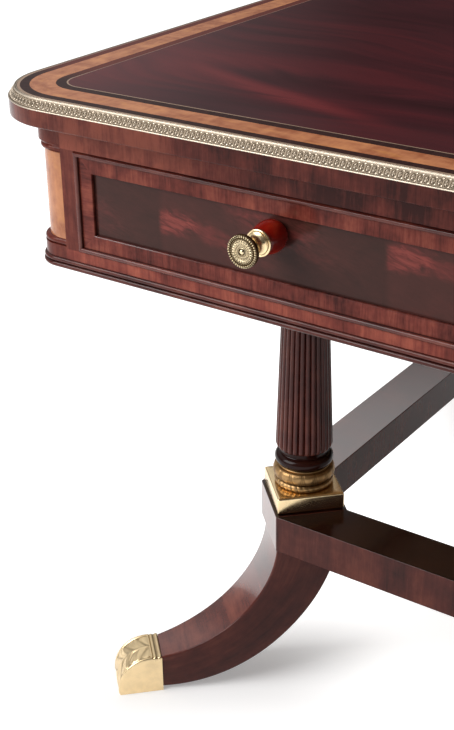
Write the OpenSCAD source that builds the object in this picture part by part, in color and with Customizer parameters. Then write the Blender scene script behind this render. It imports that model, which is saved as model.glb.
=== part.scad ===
// Brass-bound coffee table: inlaid top, frieze with two drawers, four reeded columns on a
// stretcher frame and four sabre legs in brass toe caps. Millimetres, +Z up, floor at z = 0.
// The drawers open towards -Y. The origin is under the middle of the whole outline.

/* [Overall] */
// Length of the top along X
top_l = 1124; // [1000:2:1320]
// Width of the top along Y
top_w = 768; // [660:2:900]
// Height of the table
table_h = 508; // [460:1:560]

/* [Top] */
// Thickness of the top
slab_t = 18.4; // [17:0.1:26]
// Radius of the top's corners
corner_r = 59; // [50:1:70]
// Height of the brass moulding
brass_h = 7; // [5:0.1:9]
// Width of the brass moulding
brass_lip = 6.2; // [5.4:0.1:8]
// How far the brass moulding's face leans in from its foot to its upper edge
brass_lean = 4.3; // [2:0.1:4.6]
// How far the brass stands out past the wooden edge
brass_proud = 0.3; // [0.1:0.1:1]
// Thickness of the top's veneers
veneer_t = 1; // [0.8:0.1:1.4]
// Fitting gap between the brass and the outer stringing
brass_gap = 0.3; // [0.1:0.1:0.5]
// Width of the outer stringing
string_w = 2; // [1:0.1:3]
// Width of the outer dark band
outer_band_w = 6.5; // [4:0.1:9]
// Width of the satinwood band
satin_w = 17.6; // [12:0.1:24]
// Width of the inner dark band
inner_band_w = 7.2; // [4:0.1:9]
// Width of the inner stringing
fine_string_w = 1.1; // [0.6:0.1:2]
// Chamfer on the lower edge of the top
slab_chamfer = 0.8; // [0.4:0.1:1.4]

/* [Frieze] */
// Inset of the frieze from the top's edge
frieze_inset = 24.5; // [20:0.5:30]
// Height of the frieze below the top
frieze_h = 107; // [100:0.2:120]
// Thickness of the frieze boards
board_t = 18; // [15:0.5:20]
// Side of a corner post
post_s = 29.3; // [26:0.1:34]
// Radius of a corner post's outer corner
post_r = 19; // [14:0.5:22]
// Radius of the pilaster's round face
pilaster_r = 25; // [22:0.5:27]
// Depth of the pilaster's face behind the frieze
pilaster_sink = 0.75; // [0.5:0.05:1.5]
// Thickness of the pilaster's inlay
inlay_t = 0.8; // [0.6:0.1:1.2]
// Height of the foot under the pilaster
pilaster_foot = 21.5; // [18:0.1:26]
// Height of the capital over the pilaster
pilaster_head = 24; // [20:0.1:28]
// Height of the base moulding
base_mould_h = 7.4; // [6:0.1:10]
// How far the base moulding stands out
base_mould_out = 2.2; // [1.5:0.1:3]
// Width of the stile beside a corner post
stile_w = 11.7; // [8:0.1:20]
// Width of the stile between the drawers
mid_stile_w = 51.2; // [40:0.2:70]
// Height of the rail under the drawers
low_rail_h = 15; // [14.6:0.1:20]
// Height of the rail over the drawers
top_rail_h = 20.2; // [16:0.1:25]
// Width of a cross bearer
bearer_w = 90; // [80:2:110]
// Thickness of a cross bearer
bearer_t = 14; // [12:0.1:14.4]

/* [Drawers] */
// Gap round a drawer in its opening
drawer_gap = 0.4; // [0.3:0.1:0.8]
// Width of the cockbead's face
cockbead_w = 3.2; // [2.6:0.1:4]
// Depth of the cockbead from front to back
cockbead_d = 12; // [9:0.5:14]
// How far the cockbead stands out of the frieze
cockbead_out = 1.8; // [1:0.1:2.4]
// How far the drawer's border lies behind the frieze
border_back = 0.8; // [0.2:0.1:1.4]
// Width of the drawer's border
border_w = 10.5; // [8:0.1:14]
// Depth of the sunk panel behind the border
panel_sink = 2.6; // [1.8:0.1:4]
// Thickness of the drawer's front board
front_t = 16; // [14:0.5:20]
// Depth of a drawer behind its front
drawer_depth = 440; // [360:5:500]
// Thickness of the drawer's sides and back
drawer_side_t = 9.5; // [8:0.5:12]
// Thickness of the drawer's bottom
drawer_base_t = 5; // [4:0.5:6]
// Running gap at the drawer's sides
run_gap = 0.5; // [0.4:0.1:1]

/* [Knobs] */
// Distance of a knob from the drawer's middle
knob_x = 76.2; // [50:0.1:160]
// Height of a knob over the drawer's lower edge
knob_z = 44.6; // [30:0.1:48]
// Largest radius of the knob's wooden boss
boss_r = 11; // [9:0.1:12]
// Length of the knob's wooden boss
boss_l = 18.5; // [15:0.5:20]
// Radius of the flange on the knob's stem
flange_r = 9; // [8:0.1:10]
// Length of the knob's brass stem
stem_l = 15.5; // [12:0.5:18]
// Radius of the knob's rosette
rosette_r = 10.6; // [9:0.1:13]
// Thickness of the knob's rosette
rosette_t = 4.5; // [3.5:0.1:6]
// Radius of the knob's screw
screw_r = 2; // [1.5:0.1:2.5]

/* [Columns] */
// Inset of a column's axis from the top's edge
column_in = 163; // [152:1:176]
// Radius of the shaft at its foot, over the reeds
shaft_r0 = 22.6; // [20:0.1:24]
// Radius of the shaft at its head, over the reeds
shaft_r1 = 16.8; // [15:0.1:19]
// Number of reeds round a shaft
reeds = 28; // [20:1:32]
// Radius of the turned collar under the shaft
collar_r = 23.1; // [21:0.1:25]
// Height of the turned collar
collar_h = 10; // [8:0.5:12]
// Height of the turned head over the shaft
head_h = 15; // [12:0.5:20]
// Radius of the turned tenons
tenon_r = 12; // [10:0.5:13]
// Length of the tenons in the block and the bearer
tenon_l = 13; // [10:0.5:13]
// Radial gap round a tenon
tenon_gap = 0.1; // [0.05:0.05:0.3]
// Height of the brass ring
ring_h = 18; // [15:0.5:22]
// Largest radius of the brass ring
ring_r = 24.4; // [23:0.1:26]
// Height of the brass pad
pad_h = 14.5; // [12:0.5:18]
// Side of the brass pad
pad_s = 53; // [50:0.5:56]

/* [Base] */
// Height of the stretcher frame's top
frame_z = 164.5; // [150:0.5:175]
// Height of a stretcher
stretcher_h = 31.5; // [28:0.5:36]
// Width of a stretcher
stretcher_w = 40.3; // [35:0.1:40.3]
// Side of a corner block
block_s = 57.1; // [56:0.1:60]
// Thickness of a stretcher's tenon
stub_t = 10; // [8:0.5:12]
// Height of a stretcher's tenon
stub_h = 18; // [14:0.5:20]
// Length of a stretcher's tenon
stub_l = 11; // [8:0.5:12]
// Width of a leg at its root
leg_w0 = 45.7; // [42:0.1:48]
// Width of a leg at its toe
leg_w1 = 31.6; // [28:0.1:34]
// Reach of a leg's wood from the column's axis
leg_reach = 121; // [110:1:130]
// Height of the leg's wood where the cap begins
toe_h = 33; // [29:0.5:36]
// Length of a toe cap
cap_l = 37.5; // [32:0.5:42]
// How far a toe cap stands out of the wood
cap_out = 1; // [0.6:0.1:1.4]
// Wall of a toe cap
cap_wall = 2.2; // [1.8:0.1:2.8]

/* [Hidden] */
$fn = 48;
knob_l = boss_l + stem_l + rosette_t;
panel_y = frieze_inset + border_back + panel_sink;
knob_over = knob_l - panel_y;
yc = knob_over / 2;
hx = top_l / 2;
hy = top_w / 2;
slab_z = table_h - slab_t;
brass_z = table_h - brass_h;
core_z = table_h - veneer_t;
band0 = brass_lip + brass_gap;
band1 = band0 + string_w;
band2 = band1 + outer_band_w;
band3 = band2 + satin_w;
band4 = band3 + inner_band_w;
band5 = band4 + fine_string_w;

frieze_z = slab_z - frieze_h;
post_in = frieze_inset + post_s;
opening_z0 = frieze_z + low_rail_h;
opening_z1 = slab_z - top_rail_h;
opening_x0 = hx - post_in - stile_w;
opening_x1 = mid_stile_w / 2;
opening_w = opening_x0 - opening_x1;
opening_mid = (opening_x0 + opening_x1) / 2;
front_y = yc - hy + frieze_inset;
back_y = yc + hy - frieze_inset;
inside_front = front_y + board_t;
inside_back = back_y - board_t;
inside_x = hx - frieze_inset - board_t;

drawer_w = opening_w - 2 * drawer_gap;
drawer_h = opening_z1 - opening_z0 - 2 * drawer_gap;
drawer_z0 = opening_z0 + drawer_gap;
border_y = front_y + border_back;
face_y = border_y + panel_sink;
board_back_y = face_y + front_t;
bead_back_y = front_y - cockbead_out + cockbead_d;
bead_in_w = drawer_w - 2 * cockbead_w;
bead_in_h = drawer_h - 2 * cockbead_w;
side_z0 = opening_z0 + run_gap;
side_h = opening_z1 - opening_z0 - 2 * run_gap;
side_x = drawer_w / 2 - cockbead_w;
drawer_back_y = board_back_y + drawer_depth;
base_groove = 3;
base_lift = 5;
runner_w = 22;
guide_h = 12;
stop_s = 12;
glue_s = 18;
glue_l = 60;

pad_z = frame_z;
ring_z = pad_z + pad_h;
collar_z = ring_z + ring_h;
shaft_z = collar_z + collar_h + 4.5;
head_z = frieze_z - head_h;
block_d = block_s / sqrt(2);
block_z = frame_z - stretcher_h;
leg_z = block_z;
cap_end = leg_reach + cap_l;
cap_w = leg_w1 + 2 * cap_out;
cap_h = toe_h + cap_out;
leg_root = 26.5;
leg_heel = -23.5;
leg_tenon_r = 8;
leg_tenon_l = 12;
toe_rise = 3;
tongue_l = 14;
leg_swell = 1.8;
fit_gap = 0.3;
astragal_h = 5.2;
cap_bead_h = 4;
cap_bead_in = 1.3;
cap_cove = 2.2;
inlay_gap = 0.1;

mahogany = "#6b3430";
flame = "#4a2229";
rosewood = "#33262c";
satinwood = "#c08a5c";
boxwood = "#d8c9a8";
brass = "#d8bd7c";
oak = "#a98a64";
steel = "#8a8c90";

// A point on a cubic curve with control points a, b, c and d
function cubic(a, b, c, d, t) =
    pow(1 - t, 3) * a + 3 * pow(1 - t, 2) * t * b + 3 * (1 - t) * t * t * c + t * t * t * d;
function cubic_points(a, b, c, d, n) = [for (i = [0 : n]) cubic(a, b, c, d, i / n)];

// Rectangle with round corners, centred
module round_rect(l, w, r) {
    square([l - 2 * r, w], center = true);
    square([l, w - 2 * r], center = true);
    for (sx = [-1, 1], sy = [-1, 1])
        translate([sx * (l / 2 - r), sy * (w / 2 - r)]) circle(r);
}

// The top's outline drawn in by a distance
module top_outline(inset) {
    translate([0, yc]) round_rect(top_l - 2 * inset, top_w - 2 * inset, corner_r - inset);
}

// One flat band of the top between two distances from its edge
module top_band(outer, inner) {
    translate([0, 0, core_z])
        linear_extrude(veneer_t) difference() {
            top_outline(outer);
            top_outline(inner);
        }
}

// Runs a profile round a rectangle with round corners. The profile's x is the distance
// inward from the edge and its y is the height
module rim_sweep(l, w, r) {
    for (k = [0, 180]) {
        rotate(k) translate([-(l / 2 - r), -w / 2, 0]) rotate([90, 0, 90])
            linear_extrude(l - 2 * r) children();
        rotate(k + 90) translate([-(w / 2 - r), -l / 2, 0]) rotate([90, 0, 90])
            linear_extrude(w - 2 * r) children();
    }
    for (sx = [0, 1], sy = [0, 1])
        mirror([sx, 0, 0]) mirror([0, sy, 0])
            translate([l / 2 - r, w / 2 - r, 0]) rotate_extrude(angle = 90)
                translate([r, 0]) mirror([1, 0]) children();
}

// Places a front left corner's shape at all four corners, +X and +Y inward
module at_corners(inset) {
    for (sx = [0, 1], sy = [0, 1])
        translate([0, yc, 0]) mirror([sx, 0, 0]) mirror([0, sy, 0])
            translate([inset - hx, inset - hy, 0]) children();
}

module at_drawer(side) {
    translate([side * opening_mid, 0, 0]) children();
}

module at_knobs(side) {
    for (s = [-1, 1])
        translate([side * opening_mid + s * knob_x, face_y, drawer_z0 + knob_z])
            rotate([90, 0, 0]) children();
}

// Top

module top_core() {
    color(mahogany)
        translate([0, 0, slab_z]) linear_extrude(slab_t - veneer_t) top_outline(brass_lip);
}

module edge_band() {
    color(mahogany)
        translate([0, yc, 0]) rim_sweep(top_l, top_w, corner_r)
            polygon([[brass_proud + slab_chamfer, slab_z], [brass_lip, slab_z],
                [brass_lip, brass_z], [brass_proud, brass_z],
                [brass_proud, slab_z + slab_chamfer]]);
}

module brass_edge() {
    fillet_h = 1;
    ground = 0.7;
    bead_r = 0.6;
    color(brass)
        translate([0, yc, brass_z]) rim_sweep(top_l, top_w, corner_r)
            union() {
                square([brass_lip, fillet_h]);
                polygon([[ground, 0], [brass_lip, 0], [brass_lip, brass_h],
                    [brass_lean + bead_r, brass_h], [brass_lean, brass_h - bead_r],
                    [brass_lean, brass_h - 1.6 * bead_r], [ground, fillet_h]]);
                translate([brass_lean + bead_r, brass_h - bead_r]) circle(bead_r);
            }
}

module outer_stringing() {
    color(boxwood) top_band(band0, band1);
}

module outer_band() {
    color(rosewood) top_band(band1, band2);
}

module satinwood_band() {
    color(satinwood) top_band(band2, band3);
}

module inner_band() {
    color(rosewood) top_band(band3, band4);
}

module inner_stringing() {
    color(boxwood) top_band(band4, band5);
}

module top_field() {
    color(flame) translate([0, 0, core_z]) linear_extrude(veneer_t) top_outline(band5);
}

// Frieze

// Plan of the pilaster, round towards the corner, drawn in by a distance
module pilaster_plan(inset) {
    centre = pilaster_r + pilaster_sink;
    intersection() {
        translate([centre, centre]) circle(pilaster_r - inset);
        square(post_s);
    }
}

// Section of a corner post's foot and head from their outer face inward to a depth: foot and
// astragal below, bead, cove and head above
module post_section(depth) {
    shaft_bottom = frieze_z + pilaster_foot;
    shaft_top = slab_z - pilaster_head;
    cove_z = shaft_top + cap_bead_h;
    bead_r = astragal_h / 2;
    cap_r = cap_bead_h / 2;
    translate([0, frieze_z]) square([depth, pilaster_foot - astragal_h]);
    translate([bead_r, shaft_bottom - astragal_h]) square([depth - bead_r, astragal_h]);
    translate([bead_r, shaft_bottom - bead_r]) circle(bead_r);
    translate([cap_bead_in + cap_r, shaft_top])
        square([depth - cap_bead_in - cap_r, cap_bead_h]);
    translate([cap_bead_in + cap_r, shaft_top + cap_r]) circle(cap_r);
    translate([0, cove_z + cap_cove])
        square([depth, pilaster_head - cap_bead_h - cap_cove]);
    difference() {
        translate([0, cove_z]) square([depth, cap_cove]);
        translate([0, cove_z]) circle(cap_cove);
    }
}

module corner_posts() {
    wide = post_s - post_r;
    color(mahogany)
        at_corners(frieze_inset) {
            translate([0, 0, frieze_z]) linear_extrude(frieze_h)
                pilaster_plan(inlay_t + inlay_gap);
            translate([post_r, 0, 0]) rotate([90, 0, 90]) linear_extrude(wide)
                post_section(post_s);
            mirror([1, -1, 0]) translate([post_r, 0, 0]) rotate([90, 0, 90])
                linear_extrude(wide) post_section(post_r);
            translate([post_r, post_r, 0]) rotate(180) rotate_extrude(angle = 90)
                translate([post_r, 0]) mirror([1, 0]) post_section(post_r);
        }
}

module pilaster_inlays() {
    shaft_h = frieze_h - pilaster_foot - pilaster_head;
    color(satinwood)
        at_corners(frieze_inset)
            translate([0, 0, frieze_z + pilaster_foot]) linear_extrude(shaft_h)
                difference() {
                    pilaster_plan(0);
                    pilaster_plan(inlay_t);
                }
}

module front_top_rail() {
    color(mahogany)
        translate([post_in - hx, front_y, opening_z1])
            cube([top_l - 2 * post_in, board_t, top_rail_h]);
}

module front_low_rail() {
    color(mahogany)
        translate([post_in - hx, front_y, frieze_z])
            cube([top_l - 2 * post_in, board_t, low_rail_h]);
}

module front_stiles() {
    stile_h = opening_z1 - opening_z0;
    color(mahogany) {
        for (s = [0, 1])
            mirror([s, 0, 0]) translate([opening_x0, front_y, opening_z0])
                cube([stile_w, board_t, stile_h]);
        translate([-opening_x1, front_y, opening_z0]) cube([mid_stile_w, board_t, stile_h]);
    }
}

module end_panels() {
    color(mahogany)
        for (s = [0, 1])
            mirror([s, 0, 0])
                translate([inside_x, front_y + post_s, frieze_z])
                    cube([board_t, back_y - front_y - 2 * post_s, frieze_h]);
}

module back_panel() {
    color(mahogany)
        translate([post_in - hx, inside_back, frieze_z])
            cube([top_l - 2 * post_in, board_t, frieze_h]);
}

module base_moulding() {
    out = base_mould_out;
    bead_r = base_mould_h / 4;
    color(mahogany)
        translate([0, yc, frieze_z])
            rim_sweep(top_l - 2 * (frieze_inset - out), top_w - 2 * (frieze_inset - out),
                post_r + out)
                intersection() {
                    square([out, base_mould_h]);
                    union() {
                        translate([bead_r, bead_r]) circle(bead_r);
                        translate([bead_r + 0.5, base_mould_h - bead_r]) circle(bead_r);
                        translate([out / 2, 0]) square([out / 2, base_mould_h]);
                    }
                }
}

module centre_partition() {
    color(oak)
        translate([-board_t / 2, inside_front, frieze_z])
            cube([board_t, inside_back - inside_front, frieze_h]);
}

module cross_bearers() {
    color(oak)
        for (s = [-1, 1])
            difference() {
                translate([s * (hx - column_in) - bearer_w / 2, inside_front, frieze_z])
                    cube([bearer_w, inside_back - inside_front, bearer_t]);
                for (e = [-1, 1])
                    translate([s * (hx - column_in), yc + e * (hy - column_in), frieze_z - 1])
                        cylinder(r = tenon_r + tenon_gap, h = tenon_l + 1.2);
            }
}

// The inner corners that the posts fill
module post_corners() {
    at_corners(frieze_inset) translate([0, 0, frieze_z]) cube([post_s, post_s, frieze_h]);
}

// Two strips beside each drawer, along the carcase's wall and along the partition. They
// run from one depth to another and reach under or over the drawer by the given overlap
module side_strips(z, height, y0, y1, overlap) {
    drawer_side = side_x + run_gap;
    outer_w = inside_x - (opening_mid + drawer_side) + overlap;
    inner_w = opening_mid - drawer_side - board_t / 2 + overlap;
    difference() {
        for (s = [0, 1])
            mirror([s, 0, 0]) {
                translate([inside_x - outer_w, y0, z]) cube([outer_w, y1 - y0, height]);
                translate([board_t / 2, y0, z]) cube([inner_w, y1 - y0, height]);
            }
        post_corners();
    }
}

module drawer_runners() {
    color(oak)
        side_strips(frieze_z, opening_z0 - frieze_z, inside_front, inside_back, runner_w);
}

module drawer_guides() {
    color(oak) side_strips(opening_z0, guide_h, board_back_y + run_gap, inside_back, 0);
}

module drawer_kickers() {
    color(oak)
        side_strips(opening_z1, slab_z - opening_z1, inside_front, drawer_back_y, runner_w);
}

module drawer_stops() {
    stop_x = side_x - stop_s / 2;
    color(oak)
        for (s = [0, 1])
            mirror([s, 0, 0])
                for (e = [-1, 1])
                    translate([opening_mid + e * stop_x - stop_s / 2,
                        drawer_back_y + run_gap, opening_z0])
                        cube([stop_s, stop_s, guide_h]);
}

module glue_blocks() {
    block = glue_s;
    length = glue_l;
    end_y = (drawer_back_y + back_y - post_s) / 2;
    color(oak)
        for (sx = [-1, 1]) {
            translate([sx * (inside_x - block / 2), end_y, slab_z - block / 2])
                cube([block, length, block], center = true);
            for (f = [0.25, 0.75])
                translate([sx * f * inside_x, inside_back - block / 2, slab_z - block / 2])
                    cube([length, block, block], center = true);
        }
}

// Drawers

module drawer_front(side) {
    color(flame)
        at_drawer(side)
            difference() {
                union() {
                    translate([-bead_in_w / 2, face_y, drawer_z0 + cockbead_w])
                        cube([bead_in_w, front_t, bead_in_h]);
                    translate([-drawer_w / 2, bead_back_y, drawer_z0])
                        cube([drawer_w, board_back_y - bead_back_y, drawer_h]);
                }
                for (s = [-1, 1])
                    translate([s * knob_x, face_y - 1, drawer_z0 + knob_z])
                        rotate([-90, 0, 0]) cylinder(r = screw_r + 0.1, h = front_t + 2);
                translate([-side_x + drawer_side_t, board_back_y - base_groove,
                    side_z0 + base_lift])
                    cube([2 * (side_x - drawer_side_t), base_groove + 1, drawer_base_t + 0.2]);
            }
}

module drawer_border(side) {
    color(mahogany)
        at_drawer(side)
            translate([0, face_y, drawer_z0 + drawer_h / 2]) rotate([90, 0, 0])
                linear_extrude(panel_sink) difference() {
                    square([bead_in_w, bead_in_h], center = true);
                    square([bead_in_w - 2 * border_w, bead_in_h - 2 * border_w], center = true);
                }
}

// One mitred strip of cockbead along X with its round edge to the front
module bead_strip(length) {
    half = cockbead_w / 2;
    depth = cockbead_d;
    intersection() {
        translate([-length / 2, 0, 0]) rotate([90, 0, 90]) linear_extrude(length)
            union() {
                translate([half, half]) circle(half);
                translate([half, 0]) square([depth - half, cockbead_w]);
            }
        rotate([-90, 0, 0]) mirror([0, 1, 0]) linear_extrude(depth)
            polygon([[-length / 2, 0], [length / 2, 0],
                [length / 2 - cockbead_w, cockbead_w], [cockbead_w - length / 2, cockbead_w]]);
    }
}

module cockbead(side) {
    color(mahogany)
        at_drawer(side) translate([0, front_y - cockbead_out, drawer_z0 + drawer_h / 2])
            for (a = [0, 90, 180, 270]) {
                across = a % 180 == 0;
                length = across ? drawer_w : drawer_h;
                reach = across ? drawer_h : drawer_w;
                rotate([0, a, 0]) translate([0, 0, -reach / 2]) bead_strip(length);
            }
}

module drawer_sides(side) {
    color(oak)
        at_drawer(side)
            for (s = [0, 1])
                mirror([s, 0, 0])
                    difference() {
                        translate([side_x - drawer_side_t, board_back_y, side_z0])
                            cube([drawer_side_t, drawer_depth, side_h]);
                        translate([side_x - drawer_side_t - 1, board_back_y - 1,
                            side_z0 + base_lift])
                            cube([base_groove + 1, drawer_depth + 2, drawer_base_t + 0.2]);
                    }
}

module drawer_back(side) {
    back_z = side_z0 + base_lift + drawer_base_t + 0.2;
    color(oak)
        at_drawer(side)
            translate([drawer_side_t - side_x, drawer_back_y - drawer_side_t, back_z])
                cube([2 * (side_x - drawer_side_t), drawer_side_t,
                    side_z0 + side_h - 3 - back_z]);
}

module drawer_bottom(side) {
    reach = side_x - drawer_side_t + base_groove - 0.3;
    color(oak)
        at_drawer(side) {
            translate([-reach, board_back_y + 0.1, side_z0 + base_lift + 0.1])
                cube([2 * reach, drawer_depth - 0.2, drawer_base_t]);
            translate([-side_x + drawer_side_t + 0.3, board_back_y - base_groove + 0.3,
                side_z0 + base_lift + 0.1])
                cube([2 * (side_x - drawer_side_t - 0.3), base_groove, drawer_base_t]);
        }
}

module knob_bosses(side) {
    foot_r = boss_r * 0.8;
    neck_r = flange_r * 0.82;
    belly = boss_l * 0.42;
    outline = concat([[screw_r + 0.1, 0]],
        cubic_points([foot_r, 0], [boss_r * 1.05, belly * 0.4], [boss_r * 1.08, belly * 1.5],
            [neck_r, boss_l], 14),
        [[screw_r + 0.1, boss_l]]);
    color("#7a1f1a") at_knobs(side) rotate_extrude() polygon(outline);
}

module knob_stems(side) {
    waist = 3.9;
    seat = 2.2;
    cup_r = rosette_r * 0.72;
    outline = concat([[0, 0], [flange_r - 0.5, 0], [flange_r, 0.6], [flange_r, 1.4],
        [flange_r - 0.6, 2], [flange_r - 2, seat]],
        cubic_points([flange_r - 2.2, seat], [waist - 0.6, seat + 2],
            [waist - 0.6, stem_l - 5], [cup_r, stem_l], 12),
        [[0, stem_l]]);
    color(brass) at_knobs(side) translate([0, 0, boss_l])
        difference() {
            rotate_extrude() polygon(outline);
            translate([0, 0, -1]) cylinder(r = screw_r + 0.05, h = 9);
        }
}

module knob_rosettes(side) {
    rim = 1.6;
    color(brass) at_knobs(side) translate([0, 0, boss_l + stem_l])
        rotate_extrude()
            polygon([[0, 0], [rosette_r - 0.8, 0], [rosette_r, 0.8],
                [rosette_r, rosette_t - 1.5], [rosette_r - 0.5, rosette_t - 1],
                [rosette_r - rim, rosette_t - 0.9], [rosette_r - rim - 0.4, rosette_t - 1.3],
                [4.2, rosette_t - 1.3], [3.6, rosette_t - 0.9], [2, rosette_t - 0.9],
                [1.6, rosette_t - 0.3], [0.8, rosette_t], [0, rosette_t]]);
}

module knob_screws(side) {
    head_r = 4.5;
    head_h = 2.5;
    color(steel) at_knobs(side) {
        translate([0, 0, -front_t]) cylinder(r = screw_r, h = front_t + boss_l + 7.5);
        translate([0, 0, -front_t - head_h]) cylinder(r = head_r, h = head_h);
    }
}

module left_front() { drawer_front(-1); }
module left_border() { drawer_border(-1); }
module left_cockbead() { cockbead(-1); }
module left_sides() { drawer_sides(-1); }
module left_back() { drawer_back(-1); }
module left_bottom() { drawer_bottom(-1); }
module left_knob_bosses() { knob_bosses(-1); }
module left_knob_stems() { knob_stems(-1); }
module left_knob_rosettes() { knob_rosettes(-1); }
module left_knob_screws() { knob_screws(-1); }
module right_front() { drawer_front(1); }
module right_border() { drawer_border(1); }
module right_cockbead() { cockbead(1); }
module right_sides() { drawer_sides(1); }
module right_back() { drawer_back(1); }
module right_bottom() { drawer_bottom(1); }
module right_knob_bosses() { knob_bosses(1); }
module right_knob_stems() { knob_stems(1); }
module right_knob_rosettes() { knob_rosettes(1); }
module right_knob_screws() { knob_screws(1); }

// Columns

// Outline of a reeded shaft: each reed is a half round between two hollows
module reeded_plan(r) {
    reed_r = r * sin(180 / reeds) / (1 + sin(180 / reeds));
    ring = r - reed_r;
    steps = 5;
    polygon([for (i = [0 : reeds - 1], j = [0 : steps])
        let (a = i * 360 / reeds, b = -90 + j * 180 / steps)
        ring * [cos(a), sin(a)] + reed_r * [cos(a + b), sin(a + b)]]);
}

module columns() {
    foot_h = shaft_z - collar_z - collar_h;
    torus_r = collar_h / 2;
    root_r = shaft_r0 - 1.7;
    head_r = shaft_r1 + 2.2;
    color(mahogany)
        at_corners(column_in) {
            translate([0, 0, shaft_z]) linear_extrude(head_z - shaft_z, scale = shaft_r1 / shaft_r0)
                reeded_plan(shaft_r0);
            rotate_extrude() {
                translate([0, frame_z - tenon_l]) square([tenon_r, shaft_z - frame_z + tenon_l]);
                translate([0, collar_z]) square([collar_r - torus_r, collar_h]);
                translate([collar_r - torus_r, collar_z + torus_r]) circle(torus_r);
                polygon([[0, collar_z + collar_h], [collar_r - torus_r + 1, collar_z + collar_h],
                    [root_r - 1.2, collar_z + collar_h + foot_h * 0.45],
                    [root_r, shaft_z], [0, shaft_z]]);
                polygon([[0, head_z], [shaft_r1 - 1.4, head_z], [shaft_r1 - 1.4, head_z + 3],
                    [0, head_z + 3]]);
                translate([0, head_z + 3]) square([head_r - 2.5, 5]);
                translate([head_r - 2.5, head_z + 5.5]) circle(2.5);
                polygon([[0, head_z + 8], [head_r - 2, head_z + 8],
                    [head_r + 1.5, frieze_z - 2.5], [head_r + 1.5, frieze_z], [0, frieze_z]]);
                translate([0, frieze_z]) square([tenon_r, tenon_l]);
            }
        }
}

module brass_rings() {
    bore_r = tenon_r + tenon_gap;
    cord_h = ring_h * 0.35;
    leaf_h = ring_h * 0.57;
    cord_r = ring_r - 0.8;
    lip_r = ring_r - 2;
    color(brass)
        at_corners(column_in) translate([0, 0, ring_z])
            difference() {
                rotate_extrude() union() {
                    square([cord_r - cord_h / 2, ring_h]);
                    translate([cord_r - cord_h / 2, cord_h / 2]) circle(cord_h / 2);
                    translate([ring_r - leaf_h / 2, cord_h + leaf_h / 2]) circle(leaf_h / 2);
                    translate([0, cord_h + leaf_h - 0.4])
                        square([lip_r, ring_h - cord_h - leaf_h + 0.4]);
                }
                translate([0, 0, -1]) cylinder(r = bore_r, h = ring_h + 2);
            }
}

module brass_pads() {
    bore_r = tenon_r + tenon_gap;
    ease_r = 1.8;
    color(brass)
        at_corners(column_in) translate([0, 0, pad_z])
            rotate(45) difference() {
                intersection_for (a = [0, 90])
                    rotate([90, 0, a]) translate([0, 0, -pad_s / 2])
                        linear_extrude(pad_s) translate([0, pad_h / 2])
                            round_rect(pad_s, pad_h, ease_r);
                translate([0, 0, -1]) cylinder(r = bore_r, h = pad_h + 2);
            }
}

// Base

module corner_blocks() {
    stub_gap = 0.2;
    color(mahogany)
        at_corners(column_in)
            difference() {
                translate([0, 0, block_z]) rotate(45)
                    translate([-block_s / 2, -block_s / 2, 0])
                        cube([block_s, block_s, stretcher_h]);
                translate([0, 0, frame_z - tenon_l - 0.2])
                    cylinder(r = tenon_r + tenon_gap, h = tenon_l + 1);
                translate([0, 0, block_z - 1])
                    cylinder(r = leg_tenon_r + tenon_gap, h = leg_tenon_l + 1.2);
                for (m = [0, 1])
                    mirror([m, -m, 0])
                        stub(stub_t + 2 * stub_gap, stub_h + 2 * stub_gap, stub_gap, stretcher_w);
            }
}

// The tenon of the stretcher along X, in a front left corner's axes. It ends in the block
// and runs past the block's face by the given extra
module stub(t, h, gap, extra) {
    mid_y = stretcher_w / 2 - block_d;
    face_x = block_d + mid_y;
    translate([face_x - stub_l - gap, mid_y - t / 2, frame_z - stretcher_h / 2 - h / 2])
        cube([stub_l + gap + extra, t, h]);
}

// Half of the stretcher along X, from the corner block to the middle
module half_stretcher(half_l) {
    mid_y = stretcher_w / 2 - block_d;
    translate([0, 0, block_z]) linear_extrude(stretcher_h)
        polygon([[0, -block_d], [half_l, -block_d], [half_l, stretcher_w - block_d],
            [stretcher_w, stretcher_w - block_d]]);
    stub(stub_t, stub_h, 0, stub_t);
}

module long_stretchers() {
    half_l = hx - column_in;
    color(mahogany)
        for (sx = [0, 1], sy = [0, 1])
            translate([0, yc, 0]) mirror([sx, 0, 0]) mirror([0, sy, 0])
                translate([-half_l, column_in - hy, 0]) half_stretcher(half_l);
}

module end_stretchers() {
    half_l = hy - column_in;
    color(mahogany)
        for (sx = [0, 1], sy = [0, 1])
            translate([0, yc, 0]) mirror([sx, 0, 0]) mirror([0, sy, 0])
                translate([column_in - hx, -half_l, 0]) mirror([1, -1, 0])
                    half_stretcher(half_l);
}

// Side view of a sabre leg: x outward from the column's axis, y up
function leg_outline(n) = concat(
    cubic_points([leg_root, leg_z], [leg_root, leg_z * 0.735],
        [leg_reach * 0.49, leg_z * 0.35],
        [leg_reach, toe_h], n),
    cubic_points([leg_reach, toe_rise], [leg_reach * 0.32, toe_rise + 2],
        [leg_heel + 2.5, leg_z * 0.59], [leg_heel, leg_z], n));

// Half of a leg's width at a share of the way from its root to its toe
function leg_half(t) = (leg_w0 - (leg_w0 - leg_w1) * pow(t, leg_swell)) / 2;

// Plan of a leg: its width falls off faster towards the toe
function leg_plan(n) = concat([[leg_heel - 1, -leg_w0 / 2]],
    [for (i = [0 : n]) [leg_root + (leg_reach - leg_root) * i / n, -leg_half(i / n)]],
    [for (i = [n : -1 : 0]) [leg_root + (leg_reach - leg_root) * i / n, leg_half(i / n)]],
    [[leg_heel - 1, leg_w0 / 2]]);

module leg_solid() {
    intersection() {
        rotate([90, 0, 0]) translate([0, 0, -leg_w0 / 2])
            linear_extrude(leg_w0) polygon(leg_outline(20));
        linear_extrude(leg_z) polygon(leg_plan(8));
    }
    translate([0, 0, leg_z - 1]) cylinder(r = leg_tenon_r, h = leg_tenon_l + 1);
    toe_tongue(0);
}

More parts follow.
